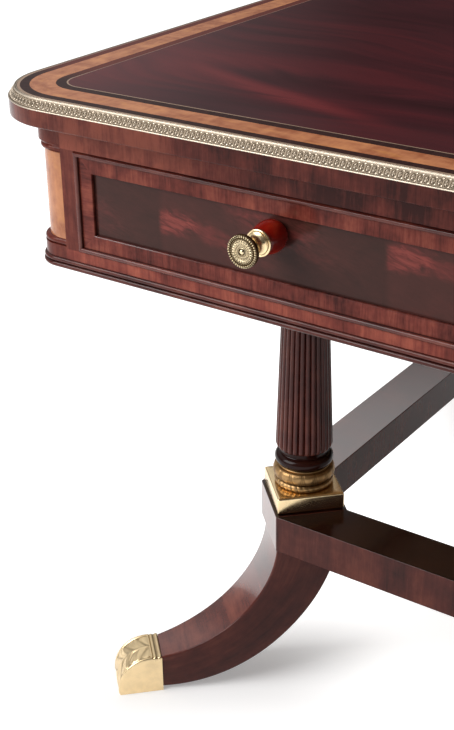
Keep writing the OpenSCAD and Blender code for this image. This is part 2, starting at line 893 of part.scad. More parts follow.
// The tongue of wood that the toe cap slips over
module toe_tongue(gap) {
    w = cap_w - 2 * (cap_wall + fit_gap);
    top = cap_h - cap_wall - fit_gap - 1.5;
    low = cap_wall + fit_gap;
    translate([leg_reach - 2, -w / 2 - gap, low - gap])
        cube([tongue_l + 2 + gap, w + 2 * gap, top - low + 2 * gap]);
}

module legs() {
    color(mahogany) at_corners(column_in) rotate(-135) leg_solid();
}

module toe_cap() {
    crown = leg_reach + cap_l * 0.25;
    outline = concat([[leg_reach + 0.2, 0], [cap_end - 1, 0]],
        cubic_points([cap_end, 3], [cap_end + 0.5, cap_h * 0.6], [leg_reach + cap_l * 0.68, cap_h],
            [crown, cap_h], 12),
        [[leg_reach + 0.2, cap_h]]);
    difference() {
        rotate([90, 0, 0]) translate([0, 0, -cap_w / 2]) linear_extrude(cap_w)
            polygon(outline);
        toe_tongue(fit_gap);
    }
}

module toe_caps() {
    color(brass) at_corners(column_in) rotate(-135) toe_cap();
}

top_core();
edge_band();
brass_edge();
outer_stringing();
outer_band();
satinwood_band();
inner_band();
inner_stringing();
top_field();
corner_posts();
pilaster_inlays();
front_top_rail();
front_low_rail();
front_stiles();
end_panels();
back_panel();
base_moulding();
centre_partition();
cross_bearers();
drawer_runners();
drawer_guides();
drawer_kickers();
drawer_stops();
glue_blocks();
left_front();
left_border();
left_cockbead();
left_sides();
left_back();
left_bottom();
left_knob_bosses();
left_knob_stems();
left_knob_rosettes();
left_knob_screws();
right_front();
right_border();
right_cockbead();
right_sides();
right_back();
right_bottom();
right_knob_bosses();
right_knob_stems();
right_knob_rosettes();
right_knob_screws();
columns();
brass_rings();
brass_pads();
corner_blocks();
legs();
toe_caps();
long_stretchers();
end_stretchers();
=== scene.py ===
import math

import bmesh
import bpy
import numpy as np
from bpy.props import FloatProperty, FloatVectorProperty, IntProperty, PointerProperty
from mathutils import Matrix, Vector


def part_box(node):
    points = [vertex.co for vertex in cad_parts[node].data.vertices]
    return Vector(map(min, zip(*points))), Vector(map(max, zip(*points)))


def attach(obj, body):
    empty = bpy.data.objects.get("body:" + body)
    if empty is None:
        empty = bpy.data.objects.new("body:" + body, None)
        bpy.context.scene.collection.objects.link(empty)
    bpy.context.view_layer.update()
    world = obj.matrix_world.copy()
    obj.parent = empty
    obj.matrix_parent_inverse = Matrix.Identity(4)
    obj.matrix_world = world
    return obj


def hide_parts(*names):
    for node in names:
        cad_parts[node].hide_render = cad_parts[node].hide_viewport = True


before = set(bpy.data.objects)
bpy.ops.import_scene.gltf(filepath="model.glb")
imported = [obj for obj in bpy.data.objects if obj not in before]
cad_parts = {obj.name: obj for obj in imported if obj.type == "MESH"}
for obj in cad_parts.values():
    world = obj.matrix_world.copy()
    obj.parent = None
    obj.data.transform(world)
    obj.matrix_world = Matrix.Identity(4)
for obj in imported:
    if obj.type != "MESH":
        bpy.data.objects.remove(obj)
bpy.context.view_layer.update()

bl_info = {
    "name": "Inlaid coffee table",
    "version": (1, 0, 0),
    "blender": (4, 5, 0),
    "location": "3D View > Sidebar > Table",
    "description": "Dresses the solid model of an inlaid coffee table with ornament and finishes",
    "category": "Object",
}

MM = 0.001

# Sizes read from the solids, in metres

TOP_LOW, TOP_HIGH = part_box("brass_edge")
HALF_X = TOP_HIGH.x
HALF_Y = (TOP_HIGH.y - TOP_LOW.y) / 2
MID_Y = (TOP_HIGH.y + TOP_LOW.y) / 2
TABLE_Z = TOP_HIGH.z
BRASS_Z = TOP_LOW.z
CORE_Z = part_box("top_core")[1].z
SLAB_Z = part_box("top_core")[0].z
FRIEZE_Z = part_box("front_low_rail")[0].z
FRIEZE_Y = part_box("front_low_rail")[0].y
INSET = FRIEZE_Y - TOP_LOW.y
RING_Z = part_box("brass_rings")[0].z
COLLAR_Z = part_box("brass_rings")[1].z
PAD_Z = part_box("brass_pads")[0].z
BLOCK_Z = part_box("corner_blocks")[0].z

# Sizes that no box gives: corner radii of the top and of the posts, the columns' distance
# from the top's edges, the width of the drawers' borders

CORNER_R = 59 * MM
POST_R = 19 * MM
COLUMN_IN = 163 * MM
BORDER_WIDE = 10.5 * MM

CORNER_POINTS = 5  # points on each eased corner of a pad or leg


def tone(code):
    """A colour written as six hex digits, as linear red, green, blue and alpha."""
    parts = [int(code[i:i + 2], 16) / 255 for i in (0, 2, 4)]
    return tuple(p / 12.92 if p <= 0.04045 else ((p + 0.055) / 1.055) ** 2.4
                 for p in parts) + (1.0,)


def colour_property(name, description, code):
    """A colour setting whose default is six hex digits."""
    return FloatVectorProperty(name=name, description=description, default=tone(code)[:3],
                               subtype="COLOR", size=3, min=0, max=1)


# Settings


class TopSettings(bpy.types.PropertyGroup):
    """Sizes and colours of the top"""

    ornament_pitch: FloatProperty(
        name="Ornament pitch", description="Distance between two loops of the brass edge",
        default=4.0 * MM, unit="LENGTH", precision=4)
    ornament_relief: FloatProperty(
        name="Ornament relief", description="Height of the brass edge's beads",
        default=0.62 * MM, unit="LENGTH", precision=5)
    field: colour_property("Field", "Middle tone of the figured field", "3d161b")
    banding: colour_property("Banding", "Dark bands beside the satinwood", "35211f")
    satinwood: colour_property("Satinwood", "Wide crossband", "b3724d")
    string: colour_property("Stringing", "Fine pale lines", "9c8069")


class WoodSettings(bpy.types.PropertyGroup):
    """Colours of the mahogany"""

    dark: colour_property("Dark", "Darkest grain", "3d1814")
    middle: colour_property("Middle", "Main tone", "6c3129")
    light: colour_property("Light", "Lightest grain", "924d3d")
    roughness: FloatProperty(name="Roughness", description="Roughness of the polish",
                             default=0.18, min=0, max=1)


class BrassSettings(bpy.types.PropertyGroup):
    """Colours of the brass"""

    bright: colour_property("Bright", "Polished metal of the knobs, pads and toe caps", "efd5a8")
    pale: colour_property("Pale", "Knob rosettes", "e6d3ae")
    silvery: colour_property("Silvery", "Edge strip", "c2b4a2")
    antique: colour_property("Antique", "Old gold of the column rings", "a38157")
    dark: colour_property("Dark", "Patina in the hollows", "3a2a14")
    roughness: FloatProperty(name="Roughness", description="Roughness of the polish",
                             default=0.24, min=0, max=1)


class ColumnSettings(bpy.types.PropertyGroup):
    """Sizes of the columns"""

    reeds: IntProperty(name="Reeds", description="Number of reeds round a shaft", default=28)
    foot_radius: FloatProperty(name="Foot radius", description="Shaft radius at the foot",
                               default=22.6 * MM, unit="LENGTH", precision=4)
    head_radius: FloatProperty(name="Head radius", description="Shaft radius at the head",
                               default=16.8 * MM, unit="LENGTH", precision=4)


class StageSettings(bpy.types.PropertyGroup):
    """Lamps and floor"""

    key_power: FloatProperty(name="Key lamp", description="Power of the large side lamp",
                             default=74, unit="POWER")
    top_power: FloatProperty(name="Top lamp", description="Power of the overhead lamp",
                             default=16, unit="POWER")
    sky: FloatProperty(name="Sky", description="Strength of the even light", default=0.5)
    floor_glow: FloatProperty(name="Floor glow", default=0.36,
                              description="Light that the floor shows beyond what falls on it")
    floor: colour_property("Floor", "Colour of the floor", "e6e6e6")


# Meshes


class Shell:
    """Collects grids of points into one mesh with a UV map and a hollow attribute."""

    def __init__(self):
        self.points, self.corners, self.sizes = [], [], []
        self.uvs, self.finishes, self.hollows = [], [], []
        self.count = 0

    def grid(self, points, wrap_u, wrap_v=False, uv=None, finish=0, hollow=None):
        """Quads between neighbouring points of a grid; a wrapped side joins its ends."""
        points = np.asarray(points, float)
        nu, nv = points.shape[:2]
        i, j = np.meshgrid(np.arange(nu - (not wrap_u)), np.arange(nv - (not wrap_v)),
                           indexing="ij")
        ci = np.stack([i, i + 1, i + 1, i], -1).reshape(-1, 4)
        cj = np.stack([j, j, j + 1, j + 1], -1).reshape(-1, 4)
        if uv is None:
            uv = np.zeros((nu + 1, nv + 1, 2))
        finishes = np.broadcast_to(finish, i.shape).ravel()
        self._add(points.reshape(-1, 3), (ci % nu) * nv + cj % nv, uv[ci, cj], finishes, hollow)

    def fan(self, rim):
        """Triangles from a closed ring of points to its middle, which closes an end."""
        n = len(rim)
        k = np.arange(n)
        faces = np.stack([k, (k + 1) % n, np.full(n, n)], -1)
        self._add(np.vstack([rim, rim.mean(0)]), faces, np.zeros((n, 3, 2)), np.zeros(n), None)

    def corner_tubes(self, points, uv=None, finish=0, hollow=None):
        """Rings of points in (outward, across, up) joined along their length, with both ends
        closed, and the same again at each column."""
        up = np.array([0, 0, 1.0])
        for axis, out, across in corner_frames():
            placed = axis + points[..., :1] * out + points[..., 1:2] * across \
                + points[..., 2:] * up
            self.grid(placed, False, True, uv, finish, hollow)
            self.fan(placed[0])
            self.fan(placed[-1])

    def copies(self, points, groups, hollow):
        """Groups of faces, each with its own number of corners, repeated on each of many
        sets of points."""
        many, each = points.shape[:2]
        start, points, hollow = self.count, points.reshape(-1, 3), np.tile(hollow, many)
        for faces in groups:
            faces = (faces[None] + np.arange(many)[:, None, None] * each).reshape(
                -1, faces.shape[1])
            self._add(points, faces + start - self.count, np.zeros((*faces.shape, 2)),
                      np.zeros(len(faces)), hollow)
            points, hollow = points[:0], hollow[:0]

    def _add(self, points, faces, uvs, finishes, hollow):
        self.points.append(points)
        self.corners.append((faces + self.count).ravel())
        self.sizes.append(np.full(len(faces), faces.shape[1]))
        self.uvs.append(np.asarray(uvs, float).reshape(-1, 2))
        self.finishes.append(finishes)
        self.hollows.append(np.zeros(len(points)) if hollow is None
                            else np.asarray(hollow, float).ravel())
        self.count += len(points)

    def piece(self, name, body, finishes, nodes, slot, smooth=35, merge=True):
        """Writes the mesh, gives it its finishes and sets it on its body for its CAD nodes."""
        mesh = bpy.data.meshes.new(name)
        points, corners = np.concatenate(self.points), np.concatenate(self.corners)
        sizes = np.concatenate(self.sizes)
        mesh.vertices.add(len(points))
        mesh.vertices.foreach_set("co", points.astype(np.float32).ravel())
        mesh.loops.add(len(corners))
        mesh.loops.foreach_set("vertex_index", corners.astype(np.int32))
        mesh.polygons.add(len(sizes))
        mesh.polygons.foreach_set("loop_start", (np.cumsum(sizes) - sizes).astype(np.int32))
        mesh.polygons.foreach_set("material_index",
                                  np.concatenate(self.finishes).astype(np.int32))
        mesh.uv_layers.new(name="run").data.foreach_set(
            "uv", np.concatenate(self.uvs).astype(np.float32).ravel())
        mesh.attributes.new("hollow", "FLOAT", "POINT").data.foreach_set(
            "value", np.concatenate(self.hollows).astype(np.float32))
        mesh.update(calc_edges=True)
        mesh.validate()
        if merge:
            work = bmesh.new()
            work.from_mesh(mesh)
            bmesh.ops.remove_doubles(work, verts=work.verts, dist=2e-6)
            bmesh.ops.recalc_face_normals(work, faces=work.faces)
            work.to_mesh(mesh)
            work.free()
        return set_piece(name, mesh, body, finishes, nodes, smooth)


def set_piece(name, mesh, body, finishes, nodes, smooth=35):
    """Makes an object of a mesh, smooth but for edges sharper than an angle in degrees."""
    piece = bpy.data.objects.new(name, mesh)
    bpy.context.scene.collection.objects.link(piece)
    for finish in finishes:
        mesh.materials.append(finish)
    mesh.polygons.foreach_set("use_smooth", np.ones(len(mesh.polygons), bool))
    mesh.set_sharp_from_angle(angle=math.radians(smooth))
    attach(piece, body)
    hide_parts(*nodes)
    return piece


def eased_copy(node, side, top):
    """A copy of a solid of the frame whose sharp edges are rounded by a narrow bevel. It has
    one finish on its sides and another on the faces that look up; the second one paints those
    faces darker as painted shade on the blocks and long stretchers, and lighter as painted
    sheen on the end stretchers."""
    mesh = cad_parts[node].data.copy()
    mesh.materials.clear()
    work = bmesh.new()
    work.from_mesh(mesh)
    bmesh.ops.remove_doubles(work, verts=work.verts, dist=1e-6)
    bmesh.ops.dissolve_limit(work, angle_limit=math.radians(0.5), verts=work.verts,
                             edges=work.edges)
    work.normal_update()
    # faces that look up take the second finish, which carries their painted shade or sheen
    for face in work.faces:
        face.material_index = int(face.normal.z > 0.9)
    work.to_mesh(mesh)
    work.free()
    piece = set_piece(node + "_eased", mesh, "carcase", [side, top], [node])
    bevel = piece.modifiers.new("ease", "BEVEL")
    bevel.width = 0.5 * MM
    bevel.segments = 2
    bevel.limit_method = "ANGLE"
    bevel.angle_limit = math.radians(40)


def rim_path(half_x, half_y, radius):
    """Points round a rectangle with round corners, their inward normals and run lengths."""
    straight, turn = 40 * MM, 20
    places, inwards = [], []
    corners = [(1, -1), (1, 1), (-1, 1), (-1, -1)]
    for k, (sx, sy) in enumerate(corners):
        a = np.radians(np.linspace(-90, 0, turn + 1) + 90 * k)
        way = np.stack([np.cos(a), np.sin(a)], 1)
        centre = np.array([sx * (half_x - radius), MID_Y + sy * (half_y - radius)])
        places.append(centre + radius * way)
        inwards.append(-way)
        nx, ny = corners[(k + 1) % 4]
        after = np.array([nx * (half_x - radius), MID_Y + ny * (half_y - radius)])
        start, end = centre + radius * way[-1], after + radius * way[-1]
        steps = max(2, round(np.linalg.norm(end - start) / straight))
        t = np.linspace(0, 1, steps + 1)[1:-1, None]
        places.append(start + (end - start) * t)
        inwards.append(np.repeat(-way[-1:], len(t), 0))
    place, inward = np.concatenate(places), np.concatenate(inwards)
    return place, inward, lengths(np.vstack([place, place[:1]]))


def sweep(shell, path, section, hollow=None):
    """Carries a section of (inward distance, height) round a rim; u is the run along it."""
    place, inward, run = path
    section = np.asarray(section, float)
    flat = place[:, None] + inward[:, None] * section[None, :, :1]
    height = np.broadcast_to(section[None, :, 1:], (*flat.shape[:2], 1))
    ends = np.vstack([section, section[:1]])
    uv = np.stack(np.meshgrid(run, lengths(ends), indexing="ij"), -1)
    shell.grid(np.concatenate([flat, height], -1), True, True, uv,
               hollow=None if hollow is None else np.tile(hollow, (len(place), 1)))


def lengths(points):
    """How far along a line of points each one lies."""
    return np.append(0, np.cumsum(np.linalg.norm(np.diff(points, axis=0), axis=1)))


def arc(centre, radius, start, end, steps):
    """Points on a circle between two angles in degrees."""
    a = np.radians(np.linspace(start, end, steps + 1))
    return np.stack([centre[0] + radius * np.cos(a), centre[1] + radius * np.sin(a)], 1)


def cubic(a, b, c, d, steps):
    """Points on a cubic curve with four control points."""
    t = np.linspace(0, 1, steps + 1)[:, None]
    a, b, c, d = (np.asarray(p, float) for p in (a, b, c, d))
    return (1 - t) ** 3 * a + 3 * (1 - t) ** 2 * t * b + 3 * (1 - t) * t ** 2 * c + t ** 3 * d


def ring_angles(around):
    """Even angles round a circle, as a column."""
    return np.linspace(0, 2 * math.pi, around, endpoint=False)[:, None]


def turned(section, around):
    """A surface of revolution: a section of (radius, height) turned about z."""
    radius, height = np.asarray(section, float).T
    a = ring_angles(around)
    return np.stack([radius * np.cos(a), radius * np.sin(a), height + 0 * a], -1)


def eased_side(half, ease, across=False):
    """One coordinate of the points round a rectangle with eased corners, CORNER_POINTS to a
    corner: on the first axis from a cosine, on the one across it from a sine."""
    angles = np.radians(np.concatenate([np.linspace(0, 90, CORNER_POINTS) + 90 * k
                                        for k in range(4)]))
    signs = np.repeat([1, 1, -1, -1] if across else [1, -1, -1, 1], CORNER_POINTS)
    return signs * (half - ease) + ease * (np.sin(angles) if across else np.cos(angles))


def corner_frames():
    """Each column's axis with its outward diagonal and the level direction across it."""
    for sx, sy in ((-1, -1), (1, -1), (1, 1), (-1, 1)):
        axis = np.array([sx * (HALF_X - COLUMN_IN), MID_Y + sy * (HALF_Y - COLUMN_IN), 0.0])
        out = np.array([sx, sy, 0.0]) / math.sqrt(2)
        yield axis, out, np.array([-out[1], out[0], 0.0])


# Finishes


def _operator(operation, swapped=False):
    def apply(self, other=None):
        values = [self] if other is None else [other, self] if swapped else [self, other]
        return self.finish.add("ShaderNodeMath", {"operation": operation},
                               dict(enumerate(values)))
    return apply


class Reading:
    """A value that changes over a surface, with the operators that add Math nodes."""

    def __init__(self, finish, socket):
        self.finish, self.socket = finish, socket

    __add__ = __radd__ = _operator("ADD")
    __sub__, __rsub__ = _operator("SUBTRACT"), _operator("SUBTRACT", True)
    __mul__ = __rmul__ = _operator("MULTIPLY")
    __truediv__, __rtruediv__ = _operator("DIVIDE"), _operator("DIVIDE", True)
    __pow__ = _operator("POWER")
    size = _operator("ABSOLUTE")
    whole = _operator("FLOOR")
    part = _operator("FRACT")
    sine = _operator("SINE")
    most, least = _operator("MAXIMUM"), _operator("MINIMUM")


class Finish:
    """A material, or a world, built of nodes by plain calls."""

    def __init__(self, name, world=False):
        self.material = (bpy.data.worlds if world else bpy.data.materials).new(name)
        self.material.use_nodes = True
        self.tree = self.material.node_tree
        self.surface = self.tree.nodes["Background" if world else "Principled BSDF"]

    def node(self, kind, settings=None, sockets=None):
        """Adds a node, sets its settings first and then its sockets."""
        node = self.tree.nodes.new(kind)
        for key, value in (settings or {}).items():
            if key == "stops":
                self._stops(node.color_ramp, value)
            else:
                setattr(node, key, value)
        for key, value in (sockets or {}).items():
            self.feed(node.inputs[key], value)
        return node

    def add(self, kind, settings=None, sockets=None, out=0):
        """Adds a node and returns one of its outputs."""
        return Reading(self, self.node(kind, settings, sockets).outputs[out])

    def feed(self, socket, value):
        """Links a reading to a socket, or sets the socket's own value."""
        if isinstance(value, Reading):
            self.tree.links.new(value.socket, socket)
        else:
            socket.default_value = value

    @staticmethod
    def _stops(ramp, stops):
        while len(ramp.elements) < len(stops):
            ramp.elements.new(0.5)
        for element, (place, colour) in zip(ramp.elements, stops):
            element.position, element.color = place, colour

    def place(self, scale=(1, 1, 1), shift=(0, 0, 0), run=False):
        """The object's own coordinates, or its run UVs, moved and stretched."""
        source = self.add("ShaderNodeUVMap", {"uv_map": "run"}) if run else \
            self.add("ShaderNodeTexCoord", out="Object")
        return self.add("ShaderNodeMapping", {"vector_type": "POINT"},
                        {"Vector": source, "Location": shift, "Scale": scale})

    def noise(self, vector, detail=3.0, roughness=0.55, distortion=0.0):
        """A cloudy value from 0 to 1."""
        return self.add("ShaderNodeTexNoise", {},
                        {"Vector": vector, "Scale": 1.0, "Detail": detail,
                         "Roughness": roughness, "Distortion": distortion})

    def spot(self):
        """The object's own x, y and z."""
        return self.axes(self.place())

    def hollow(self):
        """How deep a point lies in the relief, or how near a joint, from 0 to 1. Brass shows its
        patina by it; mahogany paints shade by it.
        """
        return self.add("ShaderNodeAttribute", {"attribute_name": "hollow"}, out="Fac")

    def axes(self, vector):
        """The three parts of a vector."""
        node = self.node("ShaderNodeSeparateXYZ", {}, {"Vector": vector})
        return [Reading(self, socket) for socket in node.outputs]

    def vector(self, x, y, z):
        """A vector of three values."""
        return self.add("ShaderNodeCombineXYZ", {}, {"X": x, "Y": y, "Z": z})

    def ramp(self, value, stops):
        """Colours between stops."""
        return self.add("ShaderNodeValToRGB", {"stops": stops}, {"Fac": value})

    def step(self, value, low, high):
        """0 below a limit, 1 above another and smooth between."""
        return self.add("ShaderNodeMapRange", {"interpolation_type": "SMOOTHSTEP"},
                        {"Value": value, "From Min": low, "From Max": high,
                         "To Min": 0.0, "To Max": 1.0})

    def fall(self, value, low, high):
        """1 below a limit, 0 above another and smooth between."""
        return 1.0 - self.step(value, low, high)

    def mix(self, amount, first, second):
        """A colour between two colours."""
        return self.add("ShaderNodeMix", {"data_type": "RGBA"},
                        {0: amount, 6: first, 7: second}, out=2)

    def chance(self, value):
        """A random value for each whole number."""
        return self.add("ShaderNodeTexWhiteNoise", {"noise_dimensions": "1D"}, {"W": value})

    def bump(self, height, strength, distance):
        """Tilts the surface by a height."""
        self.feed(self.surface.inputs["Normal"],
                  self.add("ShaderNodeBump", {}, {"Height": height, "Strength": strength,
                                                  "Distance": distance}))

    def set(self, **sockets):
        """Feeds the shader's sockets, named with underscores for spaces."""
        for key, value in sockets.items():
            self.feed(self.surface.inputs[key.replace("_", " ")], value)
        return self.material


def rgba(colour):
    """A setting's colour with an alpha."""
    return (*colour, 1.0)


def shade(colour, *factors):
    """A colour made darker or lighter by one factor, or by one each for red, green and blue."""
    return tuple(min(1.0, c * k) for c, k in zip(tuple(colour)[:3], factors * 3)) + (1.0,)


def grain(f, scale, run=False, seed=0.0):
    """Streaks, fine pores and broad patches, stretched by a scale for each axis."""
    shift = (seed * 3.1, seed * 1.7, seed * 2.3)
    streak = f.noise(f.place(scale, shift, run), 4.0, 0.62, 0.35)
    fine = f.noise(f.place(tuple(4.2 * s for s in scale), shift, run), 2.0, 0.5)
    patch = f.noise(f.place(tuple(s * 0.16 + 3 for s in scale), shift, run), 2.0)
    return streak, fine, patch


def mahogany(name, scale, *, seed, run=False, light=1.0, contrast=1.0, leaf=None, gloss=0.1,
             coat=0.0, lustre=1.5, wave=None, fade=None):
    """Polished mahogany. The scale is low along the grain and high across it. A leaf, an axis
    with a length and a strength, gives each strip of veneer along it its own tone; a wave, a
    length, a crest's place and a strength, lightens and darkens it slowly along x. A fade, the
    two ends of a run along x, wears the coat off. Hollows, the grooves and the joints marked
    on the mesh, are darkened nearly to black as painted shade."""
    wood = bpy.context.scene.coffee_table.wood
    f = Finish(name)
    streak, fine, patch = grain(f, scale, run, seed)
    mottle = f.noise(f.place((30, 30, 30), shift=(seed, seed, seed), run=run), 4.0, 0.65)
    value = ((streak - 0.5) * 0.55 + (patch - 0.5) * 0.6 + (mottle - 0.5)
             + (fine - 0.5) * 0.3) * contrast + 0.5
    if leaf:
        axis, length, strength = leaf
        along = f.axes(f.place(run=run))["xyz".index(axis)]
        value = value + (f.chance((along / length).whole()) - 0.5) * strength
    if wave:
        length, crest, strength = wave
        phase = (f.spot()[0] - crest + length / 4) * (2 * math.pi / length)
        value = value + phase.sine() * strength
    colour = f.ramp(value, [(0.2, shade(wood.dark, light)), (0.5, shade(wood.middle, light)),
                            (0.8, shade(wood.light, light))])
    pores = f.step(fine, 0.56, 0.7)
    colour = f.mix(pores * 0.25, colour, shade(wood.dark, 0.6 * light))
    # painted shade: grooves and joints marked as hollow are darkened nearly to black
    colour = f.mix(f.hollow() * 0.9, colour, shade(wood.dark, 0.15))
    f.bump(fine * 0.5 + streak * 0.2, 0.08, 0.04 * MM)
    if fade:
        coat = f.fall(f.spot()[0], *fade) * coat
    return f.set(Base_Color=colour, Roughness=wood.roughness + (patch - 0.5) * 0.1,
                 Specular_IOR_Level=gloss, Coat_Weight=coat, Coat_Roughness=0.06,
                 Coat_IOR=lustre)


def satinwood(name, scale, run=False, gloss=0.2, light=1.0):
    """Polished satinwood with a silky cross figure."""
    base = shade(bpy.context.scene.coffee_table.top.satinwood, light)
    f = Finish(name)
    streak, fine, patch = grain(f, scale, run)
    cloud = f.noise(f.place((45, 80, 45), run=run), 4.0, 0.65)
    value = (streak - 0.5) * 0.7 + (patch - 0.5) * 0.9 + (cloud - 0.5) * 1.7 + 0.5
    colour = f.ramp(value, [(0.25, shade(base, 0.72, 0.6, 0.55)), (0.52, base),
                            (0.8, shade(base, 1.25, 1.35, 1.3))])
    flecks = f.step(f.noise(f.place((46, 170, 46), run=run), 3.0, 0.6), 0.52, 0.68)
    colour = f.mix(flecks * 0.4, colour, shade(base, 1.35, 1.5, 1.0))
    f.bump(fine, 0.06, 0.03 * MM)
    return f.set(Base_Color=colour, Roughness=0.2 + (patch - 0.5) * 0.1,
                 Specular_IOR_Level=gloss)


def redder_left(f, amount, colour):
    """A colour made redder by an amount along the top's left side past the front corner."""
    x, y = f.spot()[:2]
    left = f.step(y, -0.335, -0.285) * f.fall(x, -0.45, -0.42)
    return f.mix(left * amount, colour, tone("66322b"))


def banding(name):
    """Near-black polished banding, redder along the left side."""
    base = bpy.context.scene.coffee_table.top.banding
    f = Finish(name)
    streak, _, patch = grain(f, (260, 14, 14), run=True, seed=4.0)
    colour = f.ramp(streak, [(0.3, shade(base, 0.6)), (0.7, shade(base, 1.35))])
    return f.set(Base_Color=redder_left(f, 0.85, colour), Roughness=0.2 + (patch - 0.5) * 0.08,
                 Specular_IOR_Level=0.03)


def stringing(name):
    """A fine pale line of wood, browner along the left side."""
    base = bpy.context.scene.coffee_table.top.string
    f = Finish(name)
    _, fine, patch = grain(f, (30, 500, 500), run=True, seed=6.0)
    colour = f.ramp(patch, [(0.3, shade(base, 0.7)), (0.7, shade(base, 1.1))])
    return f.set(Base_Color=redder_left(f, 0.7, colour), Roughness=0.3 + (fine - 0.5) * 0.1)


def top_figure(name):
    """Crotch mahogany: dark, with broad red flames drawn out along the length. Its front edge and
    its left front corner are lightened as painted sheen.
    """
    base = bpy.context.scene.coffee_table.top.field
    f = Finish(name)
    x, y = f.spot()[:2]
    warp = f.noise(f.place((1.6, 3.0, 1)), 2.0)
    across = y * 8.5 + x * 1.3 + warp * 2.6
    flame = f.noise(f.vector(x * 1.9 + warp * 0.8, across, 2.2), 5.0, 0.6, 0.5)
    fine = f.noise(f.vector(x * 6.0, across * 9.0, 0.0), 4.0, 0.6)
    cloud = f.noise(f.place((2.4, 3.4, 1), shift=(3, 1, 0)), 2.0)
    ragged = (warp - 0.5) * 0.05 + (fine - 0.5) * 0.03
    off = (y + 0.280 + (x + 0.380) * 0.33 + ragged * 0.6).size()
    ray = f.fall(off, 0.0, 0.016) * f.fall((x + 0.385).size(), 0.04, 0.13)
    off = (y + 0.250 + (x + 0.36) * 0.05 + ragged).size()
    dark = f.fall(off, 0.0, 0.03) * f.step(x, -0.50, -0.40) * f.fall(x, -0.15, 0.1)
    # Painted sheen: front lightens the field along its front edge and near lightens its left front
    # corner, where the light from the left falls and reflects most
    front = f.fall(y + ragged, -0.325, -0.285) * f.step(x, -0.42, -0.30)
    near = f.fall(x, -0.53, -0.4) * f.fall(y, -0.30, -0.20)
    value = (flame - 0.5) + (fine - 0.5) * 0.5 + (cloud - 0.5) * 0.6 + ray * 0.42 \
        - dark * 0.3 + front * 0.24 + near * 0.27 + 0.42
    colour = f.ramp(value, [(0.15, shade(base, 0.3)), (0.46, rgba(base)),
                            (0.7, shade(base, 1.9, 1.4, 1.3)),
                            (0.95, shade(base, 2.8, 2.2, 1.8))])
    return f.set(Base_Color=colour, Roughness=0.17 + (flame - 0.5) * 0.08,
                 Specular_IOR_Level=0.09, Coat_Weight=front * 0.4, Coat_Roughness=0.1)


def drawer_figure(name):
    """Slip-matched flame veneer: from each leaf's left edge a red plume spreads to the right
    and falls, drawn in feathery streaks. a runs from 0 to 1 along a leaf, b from 0 to 1 up
    the panel, set a little higher or lower in each leaf."""
    f = Finish(name)
    low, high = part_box("left_border")
    foot, head = low.z + BORDER_WIDE, high.z - BORDER_WIDE
    joint, leaf_wide = -0.430, 0.168
    x, z = f.spot()[::2]
    leaf = (x - joint) / leaf_wide
    a = leaf.part()
    b = (z - foot) / (head - foot) - (leaf.whole() * 1.7).sine() * 0.27
    layer = leaf.whole() * 0.2
    rough = f.noise(f.vector(a * 4.2, b * 1.7, layer), 5.0, 0.65, 0.5)
    feather = f.noise(f.vector(a * 7.0 - b * 3.0, b * 9.0 + a * 12.0, layer), 5.0, 0.7, 0.8)
    sway = (rough - 0.5) * 0.5
    round_off = (((a - 0.07) / 0.15) ** 2.0 + ((b - 0.5 + sway) / 0.27) ** 2.0) ** 0.5
    blot = f.fall(round_off, 0.3, 1.0)
    tail = f.fall((b + a * 0.95 - 0.68 + sway).size(), 0.0, 0.24) \
        * f.step(a, 0.04, 0.16) * f.fall(a, 0.25, 0.62) * 0.5
    upper = f.fall((b + a * 0.8 - 1.22 + sway * 1.3).size(), 0.0, 0.42) \
        * f.step(a, 0.25, 0.45) * f.fall(a, 0.6, 0.95) * 0.55
    warm = f.step(a, 0.0, 0.04) * f.fall(a, 0.2, 0.9) * 0.13
    plume = (blot + tail + upper).least(1.0) * f.step(a, 0.0, 0.02)
    value = plume * (feather * 3.4 - 1.15).most(0.0) * 0.8 + (feather - 0.5) * 0.25 \
        + (rough - 0.5) * 0.35 + warm + 0.17
    colour = f.ramp(value, [(0.02, (0.028, 0.013, 0.010, 1)), (0.3, (0.062, 0.02, 0.016, 1)),
                            (0.6, (0.12, 0.027, 0.023, 1)), (1.0, (0.22, 0.047, 0.038, 1))])
    return f.set(Base_Color=colour, Roughness=0.17 + (rough - 0.5) * 0.08,
                 Specular_IOR_Level=0.12)


def red_turning(name):
    """Red polished turning with faint rings."""
    f = Finish(name)
    swirl = f.noise(f.place((120, 40, 120)), 3.0, 0.6, 0.4)
    colour = f.ramp(swirl, [(0.25, tone("640e09")), (0.55, tone("8c190e")),
                            (0.85, tone("ab351d"))])
    return f.set(Base_Color=colour, Roughness=0.18 + (swirl - 0.5) * 0.1,
                 Specular_IOR_Level=0.4)


def brass(name, tint="bright", rough=None, worn=1.0, cloudy=0.1):
    """Polished brass whose hollows keep a dark patina, with cloudy patches."""
    metal = bpy.context.scene.coffee_table.brass
    bright = getattr(metal, tint)
    f = Finish(name)
    cloud = f.noise(f.place((90, 90, 90)), 4.0, 0.6)
    depth = f.step(f.hollow() + (cloud - 0.5) * 0.18, 0.12, 0.95) * worn
    clean = f.mix(f.step(cloud, 0.3, 0.7), shade(bright, 1.0 - cloudy), shade(bright, 1.05))
    colour = f.mix(depth, clean, rgba(metal.dark))
    smooth = metal.roughness if rough is None else rough
    f.bump(cloud, 0.05, 0.05 * MM)
    return f.set(Base_Color=colour, Metallic=1.0,
                 Roughness=smooth + depth * 0.25 + (cloud - 0.5) * 0.08)


